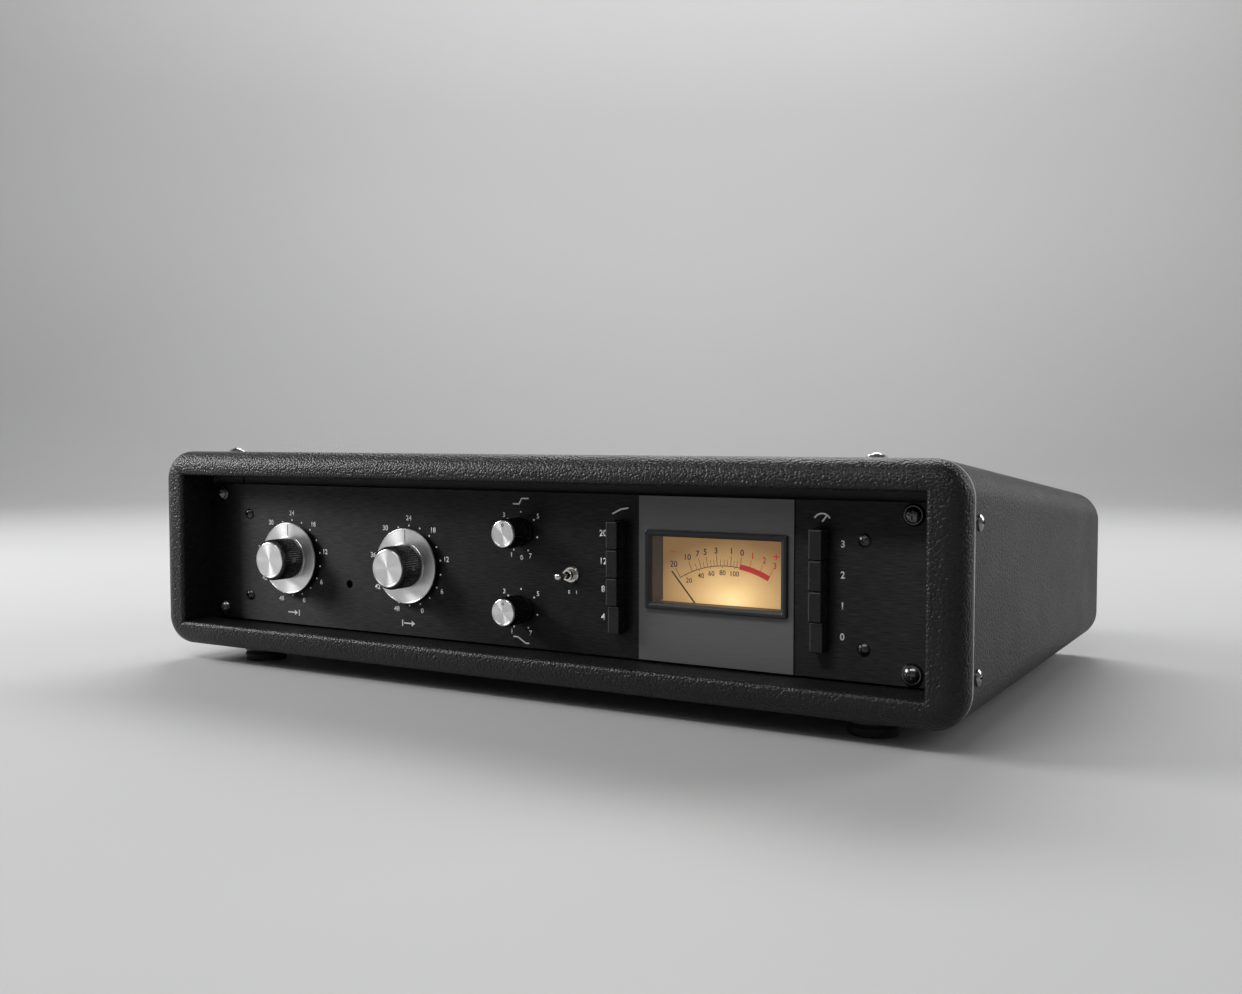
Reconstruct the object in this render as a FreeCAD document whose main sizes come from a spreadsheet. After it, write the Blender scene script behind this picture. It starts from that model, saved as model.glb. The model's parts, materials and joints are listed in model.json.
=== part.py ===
"""A two-unit rack processor in a rounded desktop case, in millimetres.

X runs along the front, Y from the front to the rear and Z up.  The origin is on
the table, under the middle of the case, and the front faces -Y.
"""

import FreeCAD, Part
import os
import re

import Sketcher

SIZES = {
    # case
    "case_depth": 326,
    "rear_drop": 28,
    "corner_radius": 18.5,
    "frame_depth": 12,
    "frame_round": 11,
    "frame_border": 15.3,
    "frame_side": 19,
    "opening_round": 2.5,
    "seam": 0.8,
    "spigot_depth": 17.5,
    "cheek_margin": 0.3,
    "cheek_inset": 10,
    "spigot_clearance": 0.3,
    "sleeve_wall": 2,
    # feet
    "foot_height": 11,
    "foot_radius": 13.5,
    "foot_taper": 0.8,
    "foot_groove": 1.2,
    "foot_well_space": 2,
    "foot_well_depth": 5,
    "foot_side_inset": 55,
    "foot_end_inset": 37.5,
    # support under the chassis
    "runner_inset": 44,
    "runner_width": 25,
    "runner_front_gap": 15,
    "runner_rear_gap": 50,
    # rack rails
    "rail_sheet": 2,
    "rail_flange": 19,
    "rail_leg": 23,
    "rail_margin": 1.7,
    "rail_screw_inset": 14,
    "rail_screw_height": 22.5,
    # front panel
    "panel_width": 482.6,
    "panel_height": 88.1,
    "panel_thickness": 3.2,
    "panel_recess": 23.5,
    "panel_gap": 1.3,
    "panel_headroom": 6,
    "panel_side_gap": 3.7,
    "rack_hole_inset": 8.75,
    "rack_hole_drop": 5.95,
    "rack_hole_radius": 3.4,
    # meter plate on the panel
    "plate_left": 83.4,
    "plate_right": 172,
    "plate_thickness": 0.8,
    "plate_margin": 0.2,
    # machine screws, nuts and cup washers
    "bolt_radius": 2.5,
    "bolt_length": 16,
    "bolt_head_height": 2.6,
    "screw_head_radius": 4,
    "screw_head_rim": 0.9,
    "nut_radius": 4.6,
    "nut_height": 4,
    "washer_radius": 5.5,
    "washer_lip": 0.5,
    "washer_height": 1.6,
    "washer_floor": 0.7,
    "hole_clearance": 0.1,
    "overshoot": 1,
    "recess_width": 1,
    "recess_length": 4.4,
    "recess_depth": 1.3,
    # wood screws
    "wood_screw_radius": 1.6,
    "wood_screw_length": 11,
    "wood_screw_head_height": 2.4,
    "side_screw_inset": 20.5,
    "side_screw_drop": 8.25,
    "top_screw_inset": 49,
    # socket screws of the chassis
    "socket_screw_radius": 1.75,
    "socket_screw_length": 8,
    "socket_head_radius": 3.25,
    "socket_head_height": 1.9,
    "socket_head_rim": 0.4,
    "socket_radius": 1.3,
    "socket_depth": 1.1,
    "panel_screw_inset": 7.7,
    "panel_screw_high": 25,
    "panel_screw_low": 28,
    "lid_screw_inset": 37,
    "lid_screw_drop": 7,
    # chassis
    "tray_inset": 25.3,
    "tray_lift": 2,
    "tray_trim": 12.1,
    "tray_sheet": 1.2,
    "tray_flange": 16,
    "lid_lip": 14,
    "lid_clearance": 0.1,
    "lid_flange_gap": 0.8,
    "rear_recess": 22,
    "rear_thickness": 2,
    # board and what stands on it
    "board_side_inset": 31,
    "board_audio_gap": 20,
    "board_front_gap": 76.3,
    "board_rear_gap": 24,
    "board_thickness": 1.6,
    "boss_radius": 3,
    "boss_height": 8,
    "boss_inset": 8,
    "can_inset": 25,
    "can_radius": 9,
    "can_height": 32,
    "small_can_radius": 4,
    "small_can_height": 12,
    "chip_length": 19,
    "chip_width": 7,
    "chip_height": 4,
    # transformers
    "mains_core_width": 64,
    "mains_core_depth": 32,
    "mains_core_height": 54,
    "mains_coil_width": 42,
    "mains_coil_depth": 54,
    "mains_coil_margin": 8,
    "mains_foot_width": 84,
    "mains_foot_sheet": 1.5,
    "mains_inset": 56,
    "mains_rear_gap": 75,
    "audio_width": 30,
    "audio_height": 38,
    "audio_round": 4,
    "audio_gap": 65,
    "audio_spread": 22,
    # rear connectors
    "rear_rise": 36,
    "flange_thickness": 2,
    "socket_flange_width": 26,
    "socket_flange_height": 31,
    "socket_barrel_radius": 11.8,
    "socket_barrel_depth": 20,
    "socket_shell_radius": 9.6,
    "socket_core_radius": 7.6,
    "socket_well_depth": 14,
    "socket_pin_radius": 1.2,
    "socket_pin_circle": 4.6,
    "socket_pin_length": 10,
    "input_socket_inset": 116,
    "output_connector_inset": 66,
    "latch_width": 7,
    "latch_height": 2.2,
    "latch_rise": 13.4,
    "latch_space": 1,
    "latch_proud": 1.8,
    "latch_length": 7,
    "inlet_inset": 46,
    "inlet_flange_width": 31,
    "inlet_flange_height": 25,
    "inlet_width": 24,
    "inlet_height": 16,
    "inlet_depth": 15,
    "inlet_wall": 1.5,
    "blade_thickness": 2,
    "blade_height": 4,
    "blade_length": 10.5,
    "blade_pitch": 7,
    "blade_drop": 2,
    "fuse_inset": 91,
    "fuse_flange_radius": 8,
    "fuse_barrel_radius": 6.2,
    "fuse_barrel_depth": 28,
    "fuse_stem_radius": 3.2,
    "fuse_stem_length": 18,
    "fuse_cap_radius": 6.4,
    "fuse_cap_height": 7,
    "fuse_slot_width": 1.4,
    "fuse_slot_depth": 1.5,
    "running_clearance": 0.09,
    "slide_clearance": 0.15,
    # dials
    "pot_wall": 1,
    "shaft_end_gap": 0.3,
    "input_place": -170.5,
    "output_place": -75,
    "large_dial_drop": 2,
    "large_pot_radius": 12,
    "large_pot_depth": 12,
    "large_bush_radius": 4.75,
    "bush_space": 0.2,
    "large_shaft_radius": 3.175,
    "large_nut_radius": 7.5,
    "bush_nut_height": 2,
    "skirt_radius": 22.4,
    "skirt_proud": 4,
    "skirt_thickness": 1.6,
    "skirt_bevel": 0.4,
    "large_nut_space": 1.5,
    "skirt_web": 1.2,
    "large_knob_radius": 12.75,
    "large_knob_proud": 18.8,
    "large_knob_well": 14,
    "large_knob_rim": 1.6,
    "large_cap_proud": 20,
    "cap_inset": 2,
    "cap_bevel": 0.5,
    "knob_bevel": 0.8,
    "grip_clearance": 0.02,
    # small dials
    "small_dial_place": 6.3,
    "attack_rise": 21.3,
    "release_drop": 22.4,
    "small_pot_radius": 8.5,
    "small_pot_depth": 10,
    "small_bush_radius": 3.2,
    "small_shaft_radius": 1.6,
    "small_nut_radius": 5,
    "small_knob_radius": 8.25,
    "small_knob_lift": 0.7,
    "small_knob_proud": 16.8,
    "small_knob_well": 12,
    "small_nut_space": 0.6,
    "small_well_depth": 3,
    "small_knob_rim": 0.75,
    "small_cap_proud": 18,
    # trimmer behind the panel
    "trim_place": -122.4,
    "trim_drop": 16,
    "trim_hole_radius": 2.5,
    "trim_body_radius": 5,
    "trim_body_depth": 9,
    "trim_well_depth": 3,
    "trim_bore_depth": 4,
    "trim_screw_radius": 1.8,
    "trim_screw_length": 3,
    "trim_slot_width": 0.6,
    "trim_slot_depth": 0.9,
    # toggle switch
    "toggle_place": 41,
    "toggle_drop": 0.8,
    "toggle_width": 13,
    "toggle_height": 16,
    "toggle_depth": 16,
    "toggle_bush_radius": 3,
    "toggle_bush_proud": 6,
    "toggle_nut_radius": 4.7,
    "toggle_nut_height": 2.4,
    "toggle_nut_bevel": 0.6,
    "lever_ball_radius": 2,
    "lever_pivot_depth": 3.5,
    "lever_neck_radius": 1.2,
    "lever_neck_length": 5,
    "lever_tip_radius": 2.2,
    "lever_tip_rise": 1.6,
    "lever_length": 14,
    # push buttons
    "ratio_place": 71.4,
    "meter_bank_place": 186.5,
    "bank_drop": 0.2,
    "button_width": 6.8,
    "button_height": 14.8,
    "button_pitch": 15.2,
    "button_proud": 10,
    "button_behind": 6,
    "button_round": 0.4,
    "button_latch": 2.2,
    "button_slot_gap": 0.3,
    "stem_width": 4,
    "stem_height": 6,
    "stem_length": 22,
    "switch_cheek": 4.3,
    "switch_wall": 2.5,
    "switch_depth": 30,
    "switch_well": 10,
    # meter
    "meter_place": 128.6,
    "meter_rise": 5,
    "bezel_width": 81,
    "bezel_height": 42,
    "bezel_proud": 2.5,
    "bezel_lip": 3.3,
    "bezel_round": 1,
    "bezel_front": 1,
    "bezel_tube_wall": 0.9,
    "bezel_clearance": 0.3,
    "glass_thickness": 1.3,
    "glass_overlap": 0.8,
    "glass_clearance": 0.1,
    "housing_margin": 1.5,
    "housing_bottom": 40,
    "housing_top": 27.5,
    "housing_depth": 28,
    "housing_wall": 1.5,
    "dial_depth": 12,
    "dial_thickness": 1,
    "dial_bottom": 20,
    "pivot_place": 128.2,
    "pivot_drop": 33,
    "needle_length": 47.5,
    "needle_width": 0.7,
    "needle_thickness": 0.4,
    "needle_gap": 2.2,
    "needle_rest": 40.3,
    "needle_tail": 4,
    "hub_radius": 2.6,
    "hub_height": 1.2,
    "spindle_radius": 0.8,
    "spindle_length": 9,
    "movement_width": 22,
    "movement_height": 10.6,
    "movement_gap": 0.4,
    "lamp_drop": 11,
    "lamp_radius": 3,
    "lamp_base": 8,
    "lamp_gap": 2.7,
}

PLACES = {
    "case_width": "2 * (opening_side + frame_side)",
    "case_height": "opening_height + 2 * frame_border",
    "opening_side": "panel_width / 2 + panel_side_gap",
    "opening_height": "panel_gap + panel_height + panel_headroom",
    "front": "-case_depth / 2",
    "rear": "case_depth / 2",
    "case_bottom": "foot_height",
    "case_top": "foot_height + case_height",
    "frame_back": "front + frame_depth",
    "sleeve_front": "frame_back + seam",
    "slope": "rear_drop / (rear - sleeve_front)",
    "sleeve_floor": "case_bottom + sleeve_wall",
    "opening_low": "case_bottom + frame_border",
    "opening_high": "case_top - frame_border",
    "opening_mid": "(opening_low + opening_high) / 2",
    "spigot_back": "frame_back + spigot_depth",
    "cheek_inside": "opening_side - cheek_inset",
    "spigot_inset": "sleeve_wall + spigot_clearance",
    "panel_face": "front + panel_recess",
    "panel_back": "panel_face + panel_thickness",
    "panel_low": "opening_low + panel_gap",
    "panel_high": "panel_low + panel_height",
    "panel_mid": "panel_low + panel_height / 2",
    "rail_back": "panel_back + rail_sheet",
    "rail_height": "opening_height - 2 * rail_margin",
    "cheek_back": "panel_back + rail_leg + cheek_margin",
    "rack_hole_place": "panel_width / 2 - rack_hole_inset",
    "rack_hole_height": "panel_height / 2 - rack_hole_drop",
    "rail_screw_row": "panel_back + rail_screw_inset",
    "side_screw_row": "front + side_screw_inset",
    "side_screw_height": "panel_height / 2 - side_screw_drop",
    "top_screw_place": "case_width / 2 - top_screw_inset",
    "foot_side": "case_width / 2 - foot_side_inset",
    "foot_end": "case_depth / 2 - foot_end_inset",
    "foot_well_radius": "screw_head_radius + foot_well_space",
    "tray_side": "panel_width / 2 - tray_inset",
    "tray_height": "panel_height - tray_trim",
    "runner_place": "tray_side - runner_inset",
    "panel_screw_place": "tray_side - panel_screw_inset",
    "tray_low": "panel_low + tray_lift",
    "tray_floor": "tray_low + tray_sheet",
    "tray_top": "tray_low + tray_height",
    "unit_back": "rear - rear_recess",
    "tray_back": "unit_back - rear_thickness",
    "lid_side": "tray_side + lid_clearance + tray_sheet",
    "mains_place": "tray_side - mains_inset",
    "audio_place": "mains_place - audio_gap",
    "board_left": "board_side_inset - tray_side",
    "board_right": "audio_place - audio_width / 2 - board_audio_gap",
    "board_front": "panel_back + board_front_gap",
    "board_rear": "tray_back - board_rear_gap",
    "board_low": "tray_floor + boss_height",
    "board_top": "board_low + board_thickness",
    "flange_back": "unit_back + flange_thickness",
    "rear_row": "tray_low + rear_rise",
    "input_socket_place": "input_socket_inset - tray_side",
    "output_connector_place": "output_connector_inset - tray_side",
    "inlet_place": "tray_side - inlet_inset",
    "fuse_place": "tray_side - fuse_inset",
    "latch_row": "rear_row + latch_rise",
    "bolt_hole": "bolt_radius + hole_clearance",
    "wood_screw_hole": "wood_screw_radius + hole_clearance",
    "socket_screw_hole": "socket_screw_radius + hole_clearance",
    "large_bush_proud": "skirt_proud - skirt_web - bush_space",
    "small_bush_proud": "small_knob_lift + small_well_depth - bush_space",
    "skirt_well_radius": "large_nut_radius + large_nut_space",
    "small_well_radius": "small_nut_radius + small_nut_space",
    "large_cap_radius": "large_knob_radius - large_knob_rim",
    "small_cap_radius": "small_knob_radius - small_knob_rim",
    "large_row": "panel_mid - large_dial_drop",
    "attack_row": "panel_mid + attack_rise",
    "release_row": "panel_mid - release_drop",
    "trim_row": "panel_mid - trim_drop",
    "toggle_row": "panel_mid - toggle_drop",
    "toggle_mouth": "panel_face - toggle_bush_proud",
    "lever_pivot": "toggle_mouth + lever_pivot_depth",
    "bank_row": "panel_mid - bank_drop",
    "slot_half_width": "button_width / 2 + button_slot_gap",
    "slot_half_height": "1.5 * button_pitch + button_height / 2 + button_slot_gap",
    "plate_face": "panel_face - plate_thickness",
    "meter_row": "panel_mid + meter_rise",
    "window_half_width": "bezel_width / 2 - bezel_lip",
    "window_half_height": "bezel_height / 2 - bezel_lip",
    "tube_grow": "glass_overlap + bezel_tube_wall",
    "cutout_half_width": "window_half_width + tube_grow + bezel_clearance",
    "cutout_half_height": "window_half_height + tube_grow + bezel_clearance",
    "housing_back": "panel_back + housing_depth",
    "housing_low": "panel_mid - housing_bottom",
    "housing_high": "panel_mid + housing_top",
    "housing_side": "bezel_width / 2 + housing_margin",
    "housing_inside": "housing_side - housing_wall",
    "dial_face": "panel_face + dial_depth",
    "dial_back": "dial_face + dial_thickness",
    "needle_face": "dial_face - needle_gap",
    "lamp_length": "housing_back - housing_wall - dial_back - lamp_gap",
    "pivot_row": "panel_mid - pivot_drop",
}

# Turns that make a piece's own +Z face each way; the sheet sets the last one's angle.
FACINGS = {
    "up": ((1, 0, 0), 0),
    "down": ((1, 0, 0), 180),
    "rear": ((1, 0, 0), -90),
    "front": ((1, 0, 0), 90),
    "right": ((0, 1, 0), 90),
    "left": ((0, 1, 0), -90),
    "off_top": ((-1, 0, 0), 5),
}

FAR = "1000"
RESERVOIR_CANS = 3
COUPLING_CANS = 7
AMPLIFIER_CHIPS = 5
BUTTONS_IN_BANK = 4

doc = FreeCAD.newDocument("rack_processor")
dims = doc.addObject("Spreadsheet::Sheet", "dims")
sub_parts = []


# ---- the sheet and its formulas ----

def fill_sheet():
    for row, (word, value) in enumerate(SIZES.items(), start=1):
        dims.set(f"A{row}", str(value))
        dims.setAlias(f"A{row}", word)
    doc.recompute()


def formula(text):
    """Write out the named places until only cells of the sheet are left."""
    def spell_out(found):
        word = found.group()
        if word in PLACES:
            return f"({formula(PLACES[word])})"
        if word in SIZES:
            return f"dims.{word}"
        return word
    return re.sub(r"[a-z][a-z_]*", spell_out, text)


def number(text):
    value = dims.evalExpression(formula(text))
    return float(getattr(value, "Value", value))


def top_at(y):
    """Height of the case's sloping top at a place along Y."""
    return f"case_top - slope * (({y}) - sleeve_front)"


def dome(radius, rise):
    """Radius of the sphere whose cap has this radius and rise."""
    return f"(({radius})^2 + ({rise})^2) / (2 * ({rise}))"


# ---- pieces ----

def keep(thing):
    """List a finished sub-part, which is written under its own label."""
    sub_parts.append(thing)
    return thing


def aim(thing, facing, x, y, z):
    """Turn a piece's own +Z to face a way, and put its origin at a place."""
    axis, angle = FACINGS[facing]
    turn = FreeCAD.Rotation(FreeCAD.Vector(*axis), angle)
    thing.Placement = FreeCAD.Placement(FreeCAD.Vector(), turn)
    for letter, text in zip("xyz", (x, y, z)):
        thing.setExpression(f"Placement.Base.{letter}", formula(text))
    if facing == "off_top":
        thing.setExpression("Placement.Rotation.Angle", formula("atan(slope)"))
    return thing


def box(name, x, y, z):
    """A block between two formulas along each axis."""
    thing = doc.addObject("Part::Box", name)
    for letter, side, (low, high) in zip("xyz", ("Length", "Width", "Height"), (x, y, z)):
        thing.setExpression(f"Placement.Base.{letter}", formula(low))
        thing.setExpression(side, formula(f"({high}) - ({low})"))
    return thing


def around(middle, half):
    """The two formulas of a stretch with this middle and half length."""
    return f"({middle}) - ({half})", f"({middle}) + ({half})"


def rod(name, facing, x, y, z, radius, length):
    """A round bar that starts at a place and runs the way it faces."""
    thing = doc.addObject("Part::Cylinder", name)
    thing.setExpression("Radius", formula(radius))
    thing.setExpression("Height", formula(length))
    return aim(thing, facing, x, y, z)


def hexagon(name, radius, low, high):
    """An upright six-sided bar on the Z axis."""
    thing = doc.addObject("Part::Prism", name)
    thing.Polygon = 6
    thing.setExpression("Circumradius", formula(radius))
    thing.setExpression("Height", formula(f"({high}) - ({low})"))
    thing.setExpression("Placement.Base.z", formula(low))
    return thing


def fuse(name, *things):
    thing = doc.addObject("Part::MultiFuse", name)
    thing.Shapes = list(things)
    return thing


def cut(name, base, *tools):
    tool = tools[0] if len(tools) == 1 else fuse(f"{name}_tools", *tools)
    thing = doc.addObject("Part::Cut", name)
    thing.Base = base
    thing.Tool = tool
    return thing


def group(name, things):
    """Separate solids of one kind as one sub-part."""
    thing = doc.addObject("Part::Compound", name)
    thing.Links = list(things)
    return keep(thing)


def copies(name, master, spots):
    """A sub-part of identical pieces, one at each (facing, x, y, z)."""
    links = []
    for count, spot in enumerate(spots, start=1):
        link = doc.addObject("App::Link", f"{name}_{count}")
        link.LinkedObject = master
        links.append(aim(link, *spot))
    return group(name, links)


# ---- sketched bodies ----

def plane_sketch(body, name, role, outline):
    """Draw one closed outline on one of a body's own origin planes.

    Each corner of the outline is (across, up), or (across, up, radius) where an
    arc that bulges outwards leads to it from the corner before.
    """
    sketch = body.newObject("Sketcher::SketchObject", name)
    plane = next(part for part in body.Origin.OriginFeatures if part.Role == role)
    sketch.AttachmentSupport = (plane, [""])
    sketch.MapMode = "FlatFace"
    corners = [FreeCAD.Vector(number(corner[0]), number(corner[1]), 0) for corner in outline]
    for index, corner in enumerate(outline):
        start, end = corners[index - 1], corners[index]
        if len(corner) == 3:
            sketch.addGeometry(outward_arc(start, end, number(corner[2])), False)
        else:
            sketch.addGeometry(Part.LineSegment(start, end), False)
    for index, corner in enumerate(outline):
        following = (index + 1) % len(outline)
        sketch.addConstraint(Sketcher.Constraint("Coincident", index, 2, following, 1))
        for kind, text in (("DistanceX", corner[0]), ("DistanceY", corner[1])):
            bind_constraint(sketch, Sketcher.Constraint(kind, -1, 1, index, 2, number(text)), text)
        if len(corner) == 3:
            limit = Sketcher.Constraint("Radius", index, number(corner[2]))
            bind_constraint(sketch, limit, corner[2])
    return sketch


def outward_arc(start, end, radius):
    """The shorter arc to the right of the way from start to end."""
    chord = end - start
    half = chord.Length / 2
    sagitta = radius - (radius ** 2 - half ** 2) ** 0.5
    side = FreeCAD.Vector(chord.y, -chord.x, 0).normalize()
    return Part.Arc(start, (start + end) / 2 + side * sagitta, end)


def bind_constraint(sketch, limit, text):
    index = sketch.addConstraint(limit)
    sketch.setExpression(f"Constraints[{index}]", formula(text))


def turned(name, outline):
    """A piece turned about its own Z; the outline gives radius and height."""
    body = doc.addObject("PartDesign::Body", name)
    sketch = plane_sketch(body, f"{name}_outline", "XZ_Plane", outline)
    turn = body.newObject("PartDesign::Revolution", f"{name}_turn")
    turn.Profile = (sketch, [""])
    turn.ReferenceAxis = (sketch, ["V_Axis"])
    turn.Angle = 360
    return body


def padded(name, role, outline, length):
    """A piece of even thickness, padded evenly both ways from its outline's plane."""
    body = doc.addObject("PartDesign::Body", name)
    sketch = plane_sketch(body, f"{name}_outline", role, outline)
    pad = body.newObject("PartDesign::Pad", f"{name}_pad")
    pad.Profile = (sketch, [""])
    pad.Midplane = True
    pad.setExpression("Length", formula(length))
    doc.recompute()
    return body


def round_edges(body, radius, wanted):
    """Round each edge of the body's tip for which wanted(one end, other end) is true."""
    base = body.Tip
    names = []
    for index, edge in enumerate(base.Shape.Edges, start=1):
        ends = [vertex.Point for vertex in edge.Vertexes]
        if wanted(ends[0], ends[-1]):
            names.append(f"Edge{index}")
    fillet = body.newObject("PartDesign::Fillet", f"{body.Name}_round_{len(body.Group)}")
    fillet.Base = (base, names)
    fillet.setExpression("Radius", formula(radius))
    doc.recompute()


def runs_along_y(start, end):
    way = end - start
    return abs(way.y) > 0.9 * way.Length > 0


def lies_at_y(place):
    def test(start, end):
        return abs(start.y - place) < 0.001 and abs(end.y - place) < 0.001
    return test


def rectangle(x, z):
    return [(x[0], z[0]), (x[1], z[0]), (x[1], z[1]), (x[0], z[1])]


def case_block(name, front_end, rear_end, inset):
    """The case's section between two places, a step inside its outer faces."""
    low = f"case_bottom + ({inset})"
    outline = [
        (front_end, low),
        (rear_end, low),
        (rear_end, f"{top_at(rear_end)} - ({inset})"),
        (front_end, f"{top_at(front_end)} - ({inset})"),
    ]
    body = padded(name, "YZ_Plane", outline, f"case_width - 2 * ({inset})")
    round_edges(body, f"corner_radius - ({inset})", runs_along_y)
    return body


# ---- fasteners ----

def cross_recess(name, top):
    """A cross-shaped driver recess that opens at this height."""
    depth = (f"{top} - recess_depth", f"{top} + recess_depth")
    across = around("0", "recess_length / 2")
    narrow = around("0", "recess_width / 2")
    bars = box(f"{name}_bar_x", across, narrow, depth), box(f"{name}_bar_y", narrow, across, depth)
    return fuse(f"{name}_recess", *bars)


def screw(name, radius, length, head_radius, rim, head_height, recess):
    """A round-head screw on Z with the underside of its head at the origin."""
    blank = turned(f"{name}_blank", [
        ("0", f"-{length}"),
        (radius, f"{radius} / 2 - {length}"),
        (radius, "0"),
        (head_radius, "0"),
        (head_radius, rim),
        ("0", head_height, dome(head_radius, f"{head_height} - {rim}")),
    ])
    return cut(name, blank, recess)


def machine_screw():
    recess = cross_recess("machine_screw", "bolt_head_height")
    return screw("machine_screw", "bolt_radius", "bolt_length", "screw_head_radius",
                 "screw_head_rim", "bolt_head_height", recess)


def wood_screw():
    recess = cross_recess("wood_screw", "wood_screw_head_height")
    return screw("wood_screw", "wood_screw_radius", "wood_screw_length", "screw_head_radius",
                 "screw_head_rim", "wood_screw_head_height", recess)


def socket_screw():
    recess = hexagon("socket_screw_recess", "socket_radius",
                     "socket_head_height - socket_depth", "socket_head_height + overshoot")
    return screw("socket_screw", "socket_screw_radius", "socket_screw_length",
                 "socket_head_radius", "socket_head_rim", "socket_head_height", recess)


def cup_washer():
    seat = "screw_head_radius + hole_clearance"
    return turned("cup_washer", [
        ("bolt_hole", "0"),
        ("washer_radius", "0"),
        ("washer_radius", "washer_lip"),
        (f"{seat} + washer_lip", "washer_height", "2 * washer_height"),
        (seat, "washer_height"),
        (seat, "washer_floor"),
        ("bolt_hole", "washer_floor"),
    ])


def hex_nut(name, radius, height, bore):
    blank = hexagon(f"{name}_blank", radius, "0", height)
    hole = rod(f"{name}_bore", "up", "0", "0", "-overshoot", bore, f"{height} + 2 * overshoot")
    return cut(name, blank, hole)


def rack_spots(facing, y):
    return [(facing, x, y, z)
            for x in ("-rack_hole_place", "rack_hole_place")
            for z in ("panel_mid - rack_hole_height", "panel_mid + rack_hole_height")]


def foot_spots(facing, z):
    return [(facing, x, y, z)
            for x in ("-foot_side", "foot_side")
            for y in ("-foot_end", "foot_end")]


def side_screw_spots(reach):
    return [(facing, f"{sign} ({reach})", "side_screw_row", z)
            for facing, sign in (("left", "-"), ("right", ""))
            for z in ("panel_mid - side_screw_height", "panel_mid + side_screw_height")]


def top_screw_spots(lift):
    """On the sloping top, and lifted square to it."""
    return [("off_top", x, f"side_screw_row + ({lift}) * sin(atan(slope))",
             f"{top_at('side_screw_row')} + ({lift}) * cos(atan(slope))")
            for x in ("-top_screw_place", "top_screw_place")]


def rail_screw_spots(reach):
    """Heads on the inner face of the rails, which face the middle of the case."""
    return [(facing, f"{sign} ({reach})", "rail_screw_row", z)
            for facing, sign in (("right", "-"), ("left", ""))
            for z in ("panel_mid - rail_screw_height", "panel_mid + rail_screw_height")]


def panel_screw_spots(facing, y):
    return [(facing, x, y, z)
            for x in ("-panel_screw_place", "panel_screw_place")
            for z in ("panel_mid - panel_screw_low", "panel_mid + panel_screw_high")]


def lid_screw_spots(reach):
    return [(facing, f"{sign} ({reach})", y, "tray_top - lid_screw_drop")
            for facing, sign in (("left", "-"), ("right", ""))
            for y in ("panel_back + lid_screw_inset", "(panel_back + tray_back) / 2",
                      "tray_back - lid_screw_inset")]


def drill(name, radius, length, spots):
    """Round tools that start at each spot and run the way that it faces."""
    return [rod(f"{name}_{count}", *spot, radius, length)
            for count, spot in enumerate(spots, start=1)]


def fasteners():
    machine = machine_screw()
    copies("machine_screws", machine,
           rack_spots("front", "panel_face - washer_floor") + foot_spots("down", "foot_well_depth"))
    nut = hex_nut("hex_nut", "nut_radius", "nut_height", "bolt_hole")
    copies("hex_nuts", nut, rack_spots("rear", "rail_back") + foot_spots("up", "sleeve_floor"))
    washer = cup_washer()
    copies("cup_washers", washer, rack_spots("front", "panel_face") + top_screw_spots("0"))
    wood = wood_screw()
    copies("wood_screws", wood,
           side_screw_spots("case_width / 2") + top_screw_spots("washer_floor")
           + rail_screw_spots("opening_side - rail_sheet"))
    socket = socket_screw()
    copies("chassis_screws", socket,
           panel_screw_spots("front", "panel_face") + panel_screw_spots("rear", "unit_back")
           + lid_screw_spots("lid_side"))


# ---- case ----

def front_frame():
    """A rounded wooden frame, with a spigot in the sleeve and cheeks for the rails."""
    outline = [
        ("front", "case_bottom"),
        ("frame_back", "case_bottom"),
        ("frame_back", "case_top"),
        ("front", "case_top"),
    ]
    bezel = padded("front_bezel", "YZ_Plane", outline, "case_width")
    round_edges(bezel, "corner_radius", runs_along_y)
    at_front = lies_at_y(number("front"))
    round_edges(bezel, "frame_round", at_front)
    side = number("opening_side")
    pocket_sketch(bezel, rectangle(around("0", "opening_side"), ("opening_low", "opening_high")))
    round_edges(bezel, "opening_round",
                lambda start, end: at_front(start, end) and abs(start.x) < side + 1)
    spigot = case_block("front_spigot", "frame_back", "cheek_back", "spigot_inset")
    opening = box("spigot_opening", around("0", "opening_side"),
                  ("front", FAR), ("opening_low", "opening_high"))
    relief = box("spigot_relief", around("0", "cheek_inside"), ("spigot_back", FAR), ("0", FAR))
    wood = fuse("front_wood", bezel, cut("front_spigot_ring", spigot, opening, relief))
    bore = "wood_screw_hole"
    length = "wood_screw_length + 2 * overshoot"
    holes = drill("side_screw_hole", bore, length, side_screw_spots(f"case_width / 2 - ({length})"))
    holes += drill("top_screw_hole", bore, length, top_screw_spots("-wood_screw_length"))
    holes += drill("rail_screw_hole", bore, length,
                   rail_screw_spots(f"opening_side - rail_sheet + ({length})"))
    keep(cut("front_frame", wood, *holes))


def pocket_sketch(body, outline):
    """Cut an outline on the XZ plane right through a body, both ways."""
    sketch = plane_sketch(body, f"{body.Name}_opening", "XZ_Plane", outline)
    pocket = body.newObject("PartDesign::Pocket", f"{body.Name}_pocket")
    pocket.Profile = (sketch, [""])
    pocket.Midplane = True
    pocket.setExpression("Length", formula("2 * case_depth"))
    before = body.Shape.Volume
    doc.recompute()
    if body.Shape.Volume >= before:
        raise RuntimeError(f"the pocket of {body.Name} cut nothing")


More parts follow.
